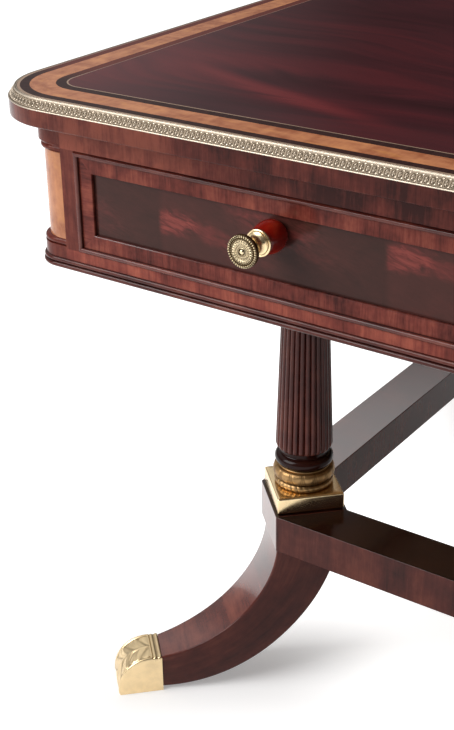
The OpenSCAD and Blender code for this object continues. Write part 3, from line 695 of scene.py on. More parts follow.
def oak(name, scale):
    """Plain unpolished inner timber."""
    f = Finish(name)
    streak, fine, patch = grain(f, scale, seed=9.0)
    colour = f.ramp((streak + patch) * 0.5, [(0.3, tone("7d6244")), (0.5, tone("a2835c")),
                                             (0.7, tone("b99c74"))])
    f.bump(fine, 0.2, 0.1 * MM)
    return f.set(Base_Color=colour, Roughness=0.6 + (fine - 0.5) * 0.2)


def steel(name):
    """Plain screw steel."""
    f = Finish(name)
    cloud = f.noise(f.place((200, 200, 200)))
    return f.set(Base_Color=f.mix(cloud, tone("6f7175"), tone("9a9ca0")), Metallic=1.0,
                 Roughness=0.35 + cloud * 0.15)


def refinish(node, material):
    """Gives a CAD node a finish without touching its mesh."""
    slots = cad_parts[node].material_slots
    for one in slots:
        one.link = "OBJECT"
        one.material = material


# Pieces


class TABLE_OT_top_bands(bpy.types.Operator):
    """The top's flat bands, stringing and figured field"""

    bl_idname = "coffee_table.top_bands"
    bl_label = "Top bands"

    def execute(self, context):
        """Each band lies between two distances in from the top's edge, in millimetres."""
        path = rim_path(HALF_X, HALF_Y, CORNER_R)
        bands = [("outer_stringing", 6.5, 8.5, stringing("outer_string"), "boxwood"),
                 ("outer_band", 8.5, 15.0, banding("outer_banding"), "rosewood"),
                 ("satinwood_band", 15.0, 32.6, satinwood("crossband", (170, 15, 15), run=True),
                  "satinwood"),
                 ("inner_band", 32.6, 39.8, banding("inner_banding"), "rosewood"),
                 ("inner_stringing", 39.8, 40.9, stringing("inner_string"), "boxwood")]
        for node, outer, inner, finish, slot in bands:
            shell = Shell()
            sweep(shell, path, [(outer * MM, CORE_Z), (outer * MM, TABLE_Z),
                                (inner * MM, TABLE_Z), (inner * MM, CORE_Z)])
            shell.piece(node + "_veneer", "carcase", [finish], [node], slot)
        refinish("top_field", top_figure("field_figure"))
        return {"FINISHED"}


class TABLE_OT_edge(bpy.types.Operator):
    """The wooden edge of the top and the cast brass strip round it"""

    bl_idname = "coffee_table.edge"
    bl_label = "Edge and brass strip"

    def execute(self, context):
        top = context.scene.coffee_table.top
        path = rim_path(HALF_X, HALF_Y, CORNER_R)
        shell = Shell()
        out, lip = 0.3 * MM, 6.2 * MM
        ease = 1.2 * MM
        sweep(shell, path, np.vstack([[(lip, SLAB_Z)],
                                      arc((out + ease, SLAB_Z + ease), ease, 270, 180, 5),
                                      [(out, BRASS_Z), (lip, BRASS_Z)]]))
        shell.piece("edge_veneer", "carcase",
                    [mahogany("edge_crossband", (300, 26, 26), run=True, seed=1.0, light=0.62,
                              contrast=1.1, leaf=("x", 0.034, 0.12), wave=(0.36, -0.47, 0.17))],
                    ["edge_band"], "mahogany")
        self.strip(top, path)
        return {"FINISHED"}

    def strip(self, top, path):
        """The strip is a moulded section whose ground leans in between two fillets; on it
        stand, at every pitch of the run, an oval loop with two beads in it and small studs
        between the loops."""
        shell = Shell()
        low, high = BRASS_Z, TABLE_Z
        foot = np.array((1.15 * MM, low + 1.15 * MM))
        head = np.array((4.45 * MM, high - 1.3 * MM))
        section = np.vstack([[(6.2 * MM, low), (0.45 * MM, low)],
                             arc((0.45 * MM, low + 0.45 * MM), 0.45 * MM, 235, 110, 5),
                             [(0.95 * MM, low + 0.95 * MM), foot, head],
                             arc((4.9 * MM, high - 0.52 * MM), 0.5 * MM, 215, 90, 6),
                             [(5.1 * MM, high), (5.2 * MM, high - 0.3 * MM),
                              (5.5 * MM, high - 0.3 * MM), (5.6 * MM, high), (6.2 * MM, high)]])
        hollow = np.zeros(len(section))
        hollow[8:11] = 1.0, 0.66, 0.7
        hollow[[19, 20]] = 1.0
        sweep(shell, path, section, hollow=hollow)
        count = round(path[2][-1] / top.ornament_pitch)
        for sides, phase, rise, *sizes in (
                (10, 0.0, 0.78, -0.15, 1.62, 2.45, 0.5), (6, 0.0, 1.0, 0.7, 0.74, 0.8, 0),
                (6, 0.0, 1.0, -1.1, 0.82, 0.85, 0), (4, 0.5, 0.75, 2.2, 0.95, 0.5, 0),
                (4, 0.5, 0.75, -2.1, 0.75, 0.6, 0)):
            self.studs(shell, path, (foot, head), count, sides, phase,
                       *(size * MM for size in sizes), top.ornament_relief * rise)
        shell.piece("brass_strip", "carcase",
                    [brass("strip_brass", "silvery", rough=0.4, worn=0.9)],
                    ["brass_edge"], "brass", smooth=50, merge=False)

    @staticmethod
    def studs(shell, path, ground, count, sides, phase, rest, half_run, half_rise, ridge,
              rise):
        """Raised studs at even steps of the run, standing square to a ground that leans from
        a foot to a head. With a ridge width the stud is a loop with a raised crest; without
        one it is a dome: a base ring, a higher ring and a tip."""
        place, inward, run = path
        total = run[-1]
        foot, head = ground
        slope = (head - foot) / np.linalg.norm(head - foot)
        a = ring_angles(sides)
        way = np.hstack([np.cos(a), np.sin(a)])
        size = np.array([half_run, half_rise])
        k = np.arange(sides)
        after = (k + 1) % sides
        quads = np.stack([k, after, after + sides, k + sides], -1)
        if ridge:
            rings, up = [way * size, way * (size - ridge / 2), way * (size - ridge)], [0, 1, 0]
            groups = [np.concatenate([quads, quads + sides])]
        else:
            rings, up = [way * size, way * size * 0.66, np.zeros((1, 2))], [0, 0.8, 1]
            groups = [quads, np.stack([k + sides, after + sides, 0 * k + 2 * sides], -1)]
        flat = np.concatenate(rings)
        lift = np.concatenate([np.full(len(ring), one) for ring, one in zip(rings, up)])
        at = ((np.arange(count) + phase)[:, None] * total / count + flat[None, :, 0]) % total
        line = np.hstack([place, inward])
        x, y, nx, ny = (np.interp(at, run, np.append(one, one[0])) for one in line.T)
        spot = (foot + head) / 2 + (rest + flat[:, 1:]) * slope \
            + (lift * rise)[:, None] * np.array([-slope[1], slope[0]])
        depth, height = spot[None, :, 0], spot[None, :, 1]
        points = np.stack([x + nx * depth, y + ny * depth, height + 0 * x], -1)
        shell.copies(points, groups, 0.82 * (1 - lift))


class TABLE_OT_frieze(bpy.types.Operator):
    """The frieze's rails, stiles, posts, inlays, panels and the moulding under them"""

    bl_idname = "coffee_table.frieze"
    bl_label = "Frieze"

    def execute(self, context):
        upright = mahogany("frieze_crossband", (300, 300, 24), seed=2.0, light=0.78,
                           leaf=("x", 0.041, 0.12))
        for node in ("front_stiles", "end_panels", "back_panel", "corner_posts"):
            refinish(node, upright)
        refinish("front_top_rail",
                 mahogany("top_rail_crossband", (300, 300, 24), seed=2.5, contrast=1.2,
                          leaf=("x", 0.041, 0.1), wave=(0.44, -0.48, 0.3)))
        refinish("front_low_rail",
                 mahogany("low_rail_crossband", (300, 300, 24), seed=3.5, light=1.24,
                          leaf=("x", 0.041, 0.12), wave=(0.6, -0.40, 0.08)))
        refinish("pilaster_inlays",
                 satinwood("pilaster_satinwood", (160, 160, 12), gloss=0.3, light=0.92))
        refinish("top_core", mahogany("core_mahogany", (12, 190, 190), seed=3.0, light=0.8))
        self.moulding()
        return {"FINISHED"}

    @staticmethod
    def moulding():
        """Two round beads and a fillet carried round the lower edge."""
        out, low, high = 2.2 * MM, FRIEZE_Z, FRIEZE_Z + 7.4 * MM
        path = rim_path(HALF_X - INSET + out, HALF_Y - INSET + out, POST_R + out)
        bead = 1.85 * MM
        section = np.vstack([[(out, low)], arc((bead, low + bead), bead, 262, 98, 8),
                             [(bead, low + 2 * bead + 0.02 * MM)],
                             arc((bead + 0.5 * MM, high - bead), bead, 258, 100, 8),
                             [(out, high)]])
        section[:, 0] = np.clip(section[:, 0], 0, out)
        # Painted shade: the quirk between the beads and the joint with the frieze above are marked
        # to be darkened
        hollow = np.zeros(len(section))
        hollow[7:14] = 0.2, 0.6, 1.0, 1.0, 1.0, 0.6, 0.2
        hollow[-3:] = 0.4, 1.0, 1.0
        shell = Shell()
        sweep(shell, path, section, hollow=hollow)
        shell.piece("frieze_moulding", "carcase",
                    [mahogany("moulding_mahogany", (20, 260, 260), run=True, seed=5.0,
                              light=0.6, coat=0.2)],
                    ["base_moulding"], "mahogany")


def picture_frame(node, section, hollow, finish=0):
    """Four mitred strips in place of a node, from a section of (inward distance, depth) on
    the node's front plane. u runs along each strip and v across it. The finishes are those
    of the lowest strip."""
    low, high = (np.array(corner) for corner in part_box(node))
    middle, half = (low + high) / 2, ((high - low) / 2)[[0, 2]]
    ends = np.vstack([section, section[:1]])
    across = lengths(ends)
    shell = Shell()
    for k, way in enumerate([(1, 0), (0, 1), (-1, 0), (0, -1)]):
        run = np.array([[-1.0], [1.0]]) * (half[k % 2] - section[None, :, 0])
        side = section[None, :, 0] - half[1 - k % 2] + 0 * run
        x = middle[0] + way[0] * run - way[1] * side
        z = middle[2] + way[1] * run + way[0] * side
        y = low[1] + section[None, :, 1] + 0 * run
        u = np.concatenate([run, run[:, :1]], 1) + k * 0.7
        uv = np.stack([np.vstack([u, u[-1:]]), np.broadcast_to(across, (3, len(across)))], -1)
        shell.grid(np.stack([x, y, z], -1), False, True, uv, 0 if k else finish,
                   np.tile(hollow, (2, 1)))
    return shell


class TABLE_OT_drawers(bpy.types.Operator):
    """The two drawers: figured fronts, crossbanded borders, cockbeads and their boxes"""

    bl_idname = "coffee_table.drawers"
    bl_label = "Drawers"

    def execute(self, context):
        for side in ("left", "right"):
            refinish(side + "_front", drawer_figure(side + "_figure"))
            self.trim(side)
            for part, scale in (("sides", (160, 8, 160)), ("back", (8, 160, 160)),
                                ("bottom", (8, 120, 160))):
                refinish(f"{side}_{part}", oak(f"{side}_{part}_oak", scale))
        return {"FINISHED"}

    @staticmethod
    def trim(side):
        """A border with a rounded inner edge, and a cockbead whose front is a half round. Both are
        darkened along their joints as painted shade.
        """
        body = side + "_drawer"
        border, cockbead = (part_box(side + part) for part in ("_border", "_cockbead"))
        edge, wide, deep = 0.7 * MM, BORDER_WIDE, border[1].y - border[0].y
        section = np.vstack([[(0, deep), (0, 0), (0.5 * MM, 0)],
                             arc((wide - edge, edge), edge, -90, 0, 4), [(wide, deep)]])
        # Painted shade: the border's outer edge beside the cockbead and the back of its inner edge
        # are marked to be darkened
        shell = picture_frame(side + "_border", section, [1, 1, 0, 0, 0, 0, 0, 0, 0.9],
                              [0, 0, 0, 1, 1, 1, 1, 0, 0])
        shell.piece(side + "_border_veneer", body,
                    [mahogany(side + "_border_crossband", (300, 26, 26), run=True, seed=7.0,
                              contrast=1.2, leaf=("x", 0.03, 0.12)),
                     mahogany(side + "_border_lip", (300, 26, 26), run=True, seed=7.0,
                              light=0.8, coat=1.0, fade=(-0.455, -0.38))],
                    [side + "_border"], "mahogany")
        bead, deep = 1.6 * MM, cockbead[1].y - cockbead[0].y
        section = np.vstack([[(0, deep)], arc((bead, bead), bead, 180, 360, 10),
                             [(2 * bead, deep)]])
        # Painted shade: the cockbead's sides are marked to be darkened towards the back, where it
        # meets the wood beside it
        shell = picture_frame(side + "_cockbead", section, [1.0] + [0.0] * 10 + [0.7, 1.0])
        shell.piece(side + "_cockbead_round", body,
                    [mahogany(side + "_cockbead_wood", (20, 260, 260), run=True, seed=8.0,
                              light=0.75, gloss=0.3)],
                    [side + "_cockbead"], "mahogany")


class TABLE_OT_knobs(bpy.types.Operator):
    """The knobs: red turned bosses, brass stems and cast rosettes"""

    bl_idname = "coffee_table.knobs"
    bl_label = "Knobs"

    def execute(self, context):
        for side in ("left", "right"):
            low, high = (np.array(c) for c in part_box(side + "_knob_bosses"))
            radius = (high[2] - low[2]) / 2
            places = [np.array([x, high[1], (low[2] + high[2]) / 2])
                      for x in (low[0] + radius, high[0] - radius)]
            face = high[1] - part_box(side + "_knob_rosettes")[1].y
            for part, shape, finish, slot, smooth in (
                    ("bosses", self.boss(), red_turning(side + "_boss_red"), "red_mahogany", 35),
                    ("stems", self.stem(high[1] - low[1]), brass(side + "_stem_brass"),
                     "brass", 35),
                    ("rosettes", self.rosette(face),
                     brass(side + "_rosette_brass", "pale", rough=0.26, worn=1.1), "brass", 70)):
                points, hollow = shape
                shell = Shell()
                for place in places:
                    shell.grid(self.set_out(points, place), True, hollow=hollow)
                shell.piece(f"{side}_{part}", side + "_drawer", [finish],
                            [f"{side}_knob_{part}"], slot, smooth)
            refinish(side + "_knob_screws", steel(side + "_screw_steel"))
        return {"FINISHED"}

    @staticmethod
    def set_out(points, place):
        """Turns points so that their height runs out of the drawer's front."""
        return place + np.stack([points[..., 0], -points[..., 2], points[..., 1]], -1)

    @staticmethod
    def boss():
        """A turned bulb: an egg-like curve from its foot to a neck."""
        long = 18.5
        curve = cubic((8.8, 0), (11.55, 3.1), (11.88, 11.7), (7.38, long), 22)
        return turned(np.vstack([[(0, 0)], curve, [(0, long)]]) * MM, 64), None

    @staticmethod
    def stem(start):
        """A flange with a ringed face and a waisted neck that opens into a cup."""
        flange = [(0, 0), (8.5, 0), (8.85, 0.25), (9, 0.7), (9, 1.2), (8.85, 1.6), (8.4, 1.95),
                  (7.9, 2.0), (7.7, 1.85), (7.2, 1.85), (7.0, 2.1), (6.8, 2.2)]
        long = 15.5
        neck = cubic((6.7, 2.2), (3.3, 4.2), (3.3, 10.5), (7.9, long), 18)
        section = np.vstack([flange, neck, [(0, long)]]) * MM
        section[:, 1] += start
        hollow = np.zeros(len(section))
        hollow[8:10] = 0.6
        hollow[14:22] = 0.25
        return turned(section, 64), np.tile(hollow, (64, 1))

    @staticmethod
    def rosette(start):
        """A disc whose face rises by a formula: a ring of beads at the rim, a dotted line, a
        wreath of scrolls from two crossed waves, and a round stud in the middle."""
        around, rings = 240, 44
        a = ring_angles(around)
        r = np.linspace(10.95, 0.0, rings)[None] * np.ones_like(a)
        beads = np.exp(-((r - 9.95) / 0.85) ** 4) * (0.45 + 0.55 * np.cos(40 * a)) * 0.95
        dots = np.exp(-((r - 8.25) / 0.3) ** 2) * (0.3 + 0.3 * np.cos(40 * a))
        wreath = np.exp(-((r - 5.4) / 2.3) ** 6)
        scrolls = wreath * (0.42 + 0.3 * np.sin(12 * a + 2.6 * r) * np.sin(12 * a - 2.6 * r)
                            + 0.2 * np.cos(24 * a) * np.cos(3.3 * r))
        ring = 0.6 * np.exp(-((r - 2.55) / 0.35) ** 2)
        stud = 1.25 * np.sqrt(np.clip(1 - (r / 1.75) ** 2, 0, 1))
        rise = np.clip(beads + dots + scrolls + ring + stud, 0, 1.3)
        face = np.stack([r * np.cos(a), r * np.sin(a), 3.2 + rise], -1)
        edge = np.array([(0, 0), (10.1, 0), (10.7, 0.3), (11, 0.9), (11, 1.5), (10.75, 1.75),
                         (10.75, 2.15), (11, 2.4), (11, 2.9), (10.97, 3.15)])
        points = np.concatenate([turned(edge, around), face], 1) * (0.9636, 0.9636, 1) * MM
        points[..., 2] += start
        dark = np.tile([0.5, 0.6, 0.75, 0.75, 0.75, 1, 1, 0.6, 0.5, 0.3], (around, 1))
        grooves = np.exp(-((r - 8.8) / 0.35) ** 2) + np.exp(-((r - 2.05) / 0.3) ** 2)
        return points, np.concatenate([dark, np.clip(1 - rise / 0.78 + 0.7 * grooves, 0, 1)], 1)


class TABLE_OT_columns(bpy.types.Operator):
    """The reeded columns with their turned collars and heads"""

    bl_idname = "coffee_table.columns"
    bl_label = "Columns"

    def execute(self, context):
        column = context.scene.coffee_table.column
        shell = Shell()
        for axis, *_ in corner_frames():
            for points, finish in self.shapes(column):
                shell.grid(points + axis, True, finish=finish)
        shell.piece("reeded_columns", "carcase",
                    [mahogany("column_mahogany", (120, 120, 14), seed=11.0, light=0.54,
                              gloss=0.22),
                     mahogany("collar_mahogany", (60, 60, 90), seed=12.0, light=0.1,
                              gloss=0.12, coat=0.04)], ["columns"], "mahogany", smooth=60)
        return {"FINISHED"}

    @staticmethod
    def shapes(column):
        """Each reed is a circle touching its neighbours: at an angle a from its middle the
        shaft's radius is c cos a + sqrt(p p - c c sin a sin a), with p the reed's radius and
        c the distance of its centre. The reeds rise from the valley over 4 mm at each end."""
        n = column.reeds
        low, high = COLLAR_Z + 14.5 * MM, FRIEZE_Z - 15 * MM
        ends = np.array([0, 0.4, 1.0, 1.8, 2.8, 4.0]) * MM
        z = np.concatenate([low + ends, np.linspace(low, high, 9)[1:-1], high - ends[::-1]])
        t = (z - low) / (high - low)
        radius = column.foot_radius + (column.head_radius - column.foot_radius) * t
        near = np.minimum(z - low, high - z) / (4.0 * MM)
        swell = np.sqrt(np.clip(1 - (1 - np.clip(near, 0, 1)) ** 2, 0, 1))
        per_reed = 10
        a = np.arange(n * per_reed)[:, None] / per_reed
        off = ((a + 0.5) % 1 - 0.5) * 2 * math.pi / n
        sine = math.sin(math.pi / n)
        p = radius * sine / (1 + sine)
        c = radius - p
        reeded = c * np.cos(off) + np.sqrt(np.clip(p ** 2 - (c * np.sin(off)) ** 2, 0, None))
        valley = c * math.cos(math.pi / n)
        r = np.minimum(valley + (reeded - valley) * swell, radius)
        angle = a * 2 * math.pi / n
        shaft = np.stack([r * np.cos(angle), r * np.sin(angle), z + 0 * r], -1)
        root, neck = float(valley[0]), float(valley[-1])
        z0 = COLLAR_Z
        foot = np.vstack([
            [(0, z0)], arc((18.1 * MM, z0 + 5 * MM), 5 * MM, -90, 90, 14),
            [(19.6 * MM, z0 + 10.2 * MM), (root - 0.9 * MM, z0 + 10.6 * MM)],
            cubic((root - 0.7 * MM, z0 + 10.8 * MM), (root - 0.6 * MM, z0 + 12 * MM),
                  (root - 0.2 * MM, z0 + 13 * MM), (root, low), 6), [(0, low)]])
        top = column.head_radius
        head = np.vstack([
            [(0, high), (neck, high), (neck, high + 3 * MM)],
            arc((top - 0.3 * MM, high + 5.5 * MM), 2.5 * MM, -80, 80, 10),
            cubic((top + 0.2 * MM, high + 8 * MM), (top + 0.6 * MM, high + 10 * MM),
                  (top + 2.2 * MM, high + 12 * MM), (top + 3.7 * MM, FRIEZE_Z - 2.5 * MM), 6),
            [(top + 3.7 * MM, FRIEZE_Z), (0, FRIEZE_Z)]])
        return [(shaft, 0), (turned(foot, 96), 1), (turned(head, 72), 1)]


class TABLE_OT_column_brass(bpy.types.Operator):
    """The cast rings and the square cushion pads under the columns"""

    bl_idname = "coffee_table.column_brass"
    bl_label = "Column rings and pads"

    def execute(self, context):
        rings, pads = Shell(), Shell()
        points, hollow = self.ring()
        for axis, *_ in corner_frames():
            rings.grid(points + axis, True, hollow=hollow)
        pads.corner_tubes(self.pad())
        rings.piece("cast_rings", "carcase",
                    [brass("ring_brass", "antique", rough=0.42, cloudy=0.3)],
                    ["brass_rings"], "brass", smooth=60)
        pads.piece("cushion_pads", "carcase", [brass("pad_brass", rough=0.22)],
                   ["brass_pads"], "brass", smooth=40)
        return {"FINISHED"}

    @staticmethod
    def ring():
        """A corded band below, slanted lobes from a sine of angle plus height; a band of
        overlapping leaves above, from the distance to each leaf's pointed arch."""
        around, widest = 288, 24.38
        a = ring_angles(around)
        z0 = RING_Z / MM
        cord_top, leaf_top = z0 + 6.3, z0 + 16.5
        cord = arc((20.2, z0 + 3.15), 3.1, -85, 85, 10)
        leaf = (arc((0, 0), 1, -88, 88, 16) * (3.2, 4.95)) + (20.9, z0 + 11.4)
        bore = 12.1
        section = np.vstack([[(bore, z0), (20.3, z0)], cord, [(20.0, cord_top + 0.1)], leaf,
                             [(20.3, leaf_top + 0.1), (20.4, leaf_top + 0.3),
                              (20.7, leaf_top + 0.6), (20.7, leaf_top + 1.1),
                              (20.2, leaf_top + 1.5), (bore, leaf_top + 1.5)]])
        r, z = section[None, :, 0], section[None, :, 1]
        t = (z - z0) / (cord_top - z0)
        in_cord = (t > 0.02) & (t < 0.99) & (r > 20.45)
        cords, leaves = 32, 15
        lobes = np.abs(np.sin(cords / 2 * a + 1.5 * t)) ** 0.4
        cord_rise = np.where(in_cord, 0.7 * lobes - 0.45, 0)
        v = (z - cord_top) / (leaf_top - cord_top)
        in_leaf = (v > 0.03) & (v < 0.99) & (r > 20.1)
        even = np.abs(((a * leaves / (2 * math.pi)) % 1) * 2 - 1)
        front = 1 - ((1 - even) / 0.9) ** 2 - (1 - v) * 0.9
        behind = 1 - (even / 0.8) ** 2 - (1 - v) * 0.75
        leaf = np.maximum(np.clip(front * 3.5, -1, 1), np.clip(behind * 3.5, -1, 0.3))
        veins = 0.25 * np.abs(np.cos(leaves * 3 * a + 4 * v))
        leaf_rise = np.where(in_leaf, np.clip(0.36 * leaf + veins - 0.2, -0.5, 0.48), 0)
        points = turned(section, around)
        radius = np.minimum(r + cord_rise + leaf_rise, widest)
        points[..., 0], points[..., 1] = radius * np.cos(a), radius * np.sin(a)
        hollow = np.where(in_cord, 0.8 - lobes, 0) + np.where(
            in_leaf, 0.75 - 0.6 * leaf - 0.9 * veins, 0)
        gap = ((z > cord_top - 0.15) & (z < cord_top + 0.6)) * 0.8
        return points * MM, np.clip(hollow + gap, 0, 1) * np.ones_like(a)

    @staticmethod
    def pad():
        """Square rings with eased corners, carried up straight sides between two round edges;
        the sides face along and across the diagonal."""
        low, high, edge, wide = PAD_Z / MM, RING_Z / MM, 1.8, 26.5
        half, z = np.vstack([[(22.0, low)], arc((wide - edge, low + edge), edge, -90, 0, 6),
                             arc((wide - edge, high - edge), edge, 0, 90, 6),
                             [(21.0, high)]]).T
        x, y = (eased_side(half[:, None], 0.8, across) for across in (False, True))
        return np.stack([x, y, z[:, None] + 0 * x], -1) * MM


class TABLE_OT_base_frame(bpy.types.Operator):
    """The corner blocks and the stretchers between them"""

    bl_idname = "coffee_table.base_frame"
    bl_label = "Blocks and stretchers"

    def execute(self, context):
        # Painted shade: the tops of the blocks and long stretchers are painted near-black, as they
        # lie in shade under the table
        top = mahogany("frame_top", (14, 14, 90), seed=16.0, light=0.1, contrast=0.8,
                       gloss=0.3, coat=0.2)
        eased_copy("corner_blocks",
                   mahogany("block_veneer", (260, 260, 24), seed=13.0, light=0.75, gloss=0.5,
                            coat=0.5), top)
        eased_copy("long_stretchers",
                   mahogany("long_crossband", (260, 22, 22), seed=14.0, light=0.5,
                            contrast=0.9, leaf=("x", 0.036, 0.08), gloss=0.2), top)
        # Painted sheen: the end stretchers' tops are painted lighter than their sides
        eased_copy("end_stretchers",
                   mahogany("end_crossband", (22, 260, 22), seed=15.0, light=0.45,
                            contrast=0.8, leaf=("y", 0.036, 0.08), gloss=0.2),
                   mahogany("end_top", (22, 260, 22), seed=15.5, light=0.6, contrast=0.8,
                            gloss=1.0, coat=1.0, lustre=2.2))
        return {"FINISHED"}


class TABLE_OT_legs(bpy.types.Operator):
    """The sabre legs"""

    bl_idname = "coffee_table.legs"
    bl_label = "Legs"

    def execute(self, context):
        shell = Shell()
        shell.corner_tubes(*self.leg())
        shell.piece("sabre_legs", "carcase",
                    [mahogany("leg_side", (16, 150, 16), run=True, seed=17.0, light=0.6,
                              contrast=0.75, gloss=0.22),
                     mahogany("leg_crossband", (260, 22, 22), run=True, seed=18.0, light=0.7,
                              contrast=0.9, leaf=("x", 0.021, 0.16), gloss=0.5, coat=0.6)],
                    ["legs"], "mahogany", smooth=30)
        return {"FINISHED"}

    @staticmethod
    def leg():
        """A rectangle with eased corners carried between the leg's outer and inner curves;
        its width tapers with the reach. u is the length along the leg."""
        top = BLOCK_Z / MM
        steps, root, toe = 72, 26.5, 121
        wide, taper = 45.7, 14.1
        outer = cubic((root, top), (root, top * 0.735), (toe * 0.49, top * 0.35), (toe, 33), steps)
        inner = cubic((-23.5, top), (-21, top * 0.59), (toe * 0.32, 5), (toe, 3), steps)
        middle, gap = (outer + inner) / 2, outer - inner
        thick = np.linalg.norm(gap, axis=1)
        way = gap / thick[:, None]
        ease = 1.3
        a = eased_side(thick[:, None] / 2, ease)
        reach = middle[:, :1] + way[:, :1] * a
        width = wide - taper * np.clip((reach - root) / (toe - root), 0, 1) ** 1.8
        b = eased_side(width / 2, ease, True)
        points = np.stack([reach, b, middle[:, 1:] + way[:, 1:] * a], -1) * MM
        run = lengths(outer)
        side = 4 * CORNER_POINTS
        # v runs round the section in millimetres: 2 for each corner and 40 for each side
        ends = np.arange(0, side + 1, CORNER_POINTS)
        around = np.interp(np.arange(side + 1),
                           np.append(np.stack([ends[:-1], ends[1:] - 1], 1).ravel(), side),
                           [0, 2, 42, 44, 84, 86, 126, 128, 168])
        uv = np.stack(np.meshgrid(run, around, indexing="ij"), -1) * MM
        faces = np.zeros((steps, side), int)
        faces[:, -1] = 1
        return points, uv, faces


class TABLE_OT_toe_caps(bpy.types.Operator):
    """The brass toe caps with a leaf cast on top"""

    bl_idname = "coffee_table.toe_caps"
    bl_label = "Toe caps"

    def execute(self, context):
        points, hollow = self.cap()
        shell = Shell()
        shell.corner_tubes(points, hollow=hollow)
        shell.piece("leaf_caps", "carcase", [brass("cap_brass", rough=0.32, worn=0.5)],
                    ["toe_caps"], "brass", smooth=50)
        return {"FINISHED"}

    @staticmethod
    def cap():
        """The cap's upper curve, drawn down to the floor at the sides. On top the surface
        rises by a leaf: lobes from a sine of the run less the distance from the middle line,
        between two lips at the back and a plain edge at the sides."""
        back, front, tip, reach = 121.2, 130.4, 157.2, 158.5
        high, half = 34.0, 16.8
        flat = np.stack([np.linspace(back, front, 14), np.full(14, high)], -1)[:-1]
        bend = cubic((front, high), (146.5, high), (159.0, 20.4), (reach, 3), 56)
        toe = np.array([(158.2, 1.2), (157.7, 0.4), (tip, 0)])
        curve = np.vstack([flat, bend, toe])
        way = np.gradient(curve, axis=0)
        way /= np.linalg.norm(way, axis=1)[:, None]
        normal = np.stack([-way[:, 1], way[:, 0]], -1)
        run = lengths(curve)
        u = run / run[-1]
        v = np.linspace(-1, 1, 53)[None]
        run = run[:, None]
        lip = np.exp(-((run - 1.5) / 1.25) ** 4) + 0.9 * np.exp(-((run - 5.6) / 1.15) ** 4)
        q = (run - 7.4) / (run[-1] - 7.4)
        w = np.abs(v) / 0.86
        start = np.clip(q * 24, 0, 1)
        inside = start * np.clip((1 - w) * 12, 0, 1) * np.clip((1 - q) * 14, 0, 1)
        finger = 4.2 * q - 1.3 * w + 0.55 * w ** 3
        lobes = np.abs(np.sin(math.pi * finger)) ** 0.5
        ribs = 0.5 + 0.5 * np.cos(2 * math.pi * (3 * finger + 1.5 * w))
        tips = np.clip((1.06 - w - 0.16 * np.cos(2 * math.pi * finger)) * 9, 0, 1)
        stem = np.exp(-(w / 0.13) ** 2)
        leaf = inside * np.maximum(stem * 0.95, tips * (0.62 * lobes + 0.3 * ribs * lobes))
        border = 1 - start * np.clip((0.90 - np.abs(v)) / 0.05, 0, 1)
        rise = np.maximum(leaf * 1.1, border * np.where(run < 7.6, lip, 0.9))
        rise = np.where(run > run[-1] - 3.0, np.minimum(rise, 0.9), rise)
        ease = np.clip((np.abs(v) - 0.95) / 0.05, 0, 1) ** 2 * 0.9
        depth = -1.2 + rise * 0.9 - ease
        top = curve[:, None] + normal[:, None] * depth[..., None]
        top[..., 1] = np.maximum(top[..., 1], 0)
        top = np.stack([top[..., 0], np.broadcast_to(v * half, top.shape[:2]), top[..., 1]], -1)
        floor = back + (tip - back) * u
        down = np.linspace(0, 1, 7)[1:]
        sides = []
        for edge in (0, -1):
            rim = top[:, edge]
            low = np.stack([floor, rim[:, 1], np.zeros_like(floor)], -1)
            sides.append(rim[:, None] + (low - rim)[:, None] * down[None, :, None])
        loop = np.concatenate([sides[0][:, ::-1], top, sides[1]], 1)
        hollow = np.pad(np.clip(1 - rise * 1.25, 0, 1) * (np.abs(v) < 0.93),
                        ((0, 0), (len(down), len(down))))
        return loop * MM, hollow


class TABLE_OT_inside(bpy.types.Operator):
    """The timber inside the carcase"""

    bl_idname = "coffee_table.inside"
    bl_label = "Inner timber"

    def execute(self, context):
        along = oak("inner_oak", (150, 8, 150))
        for node in ("centre_partition", "cross_bearers", "drawer_runners", "drawer_guides",
                     "drawer_kickers", "drawer_stops", "glue_blocks"):
            refinish(node, along)
        return {"FINISHED"}


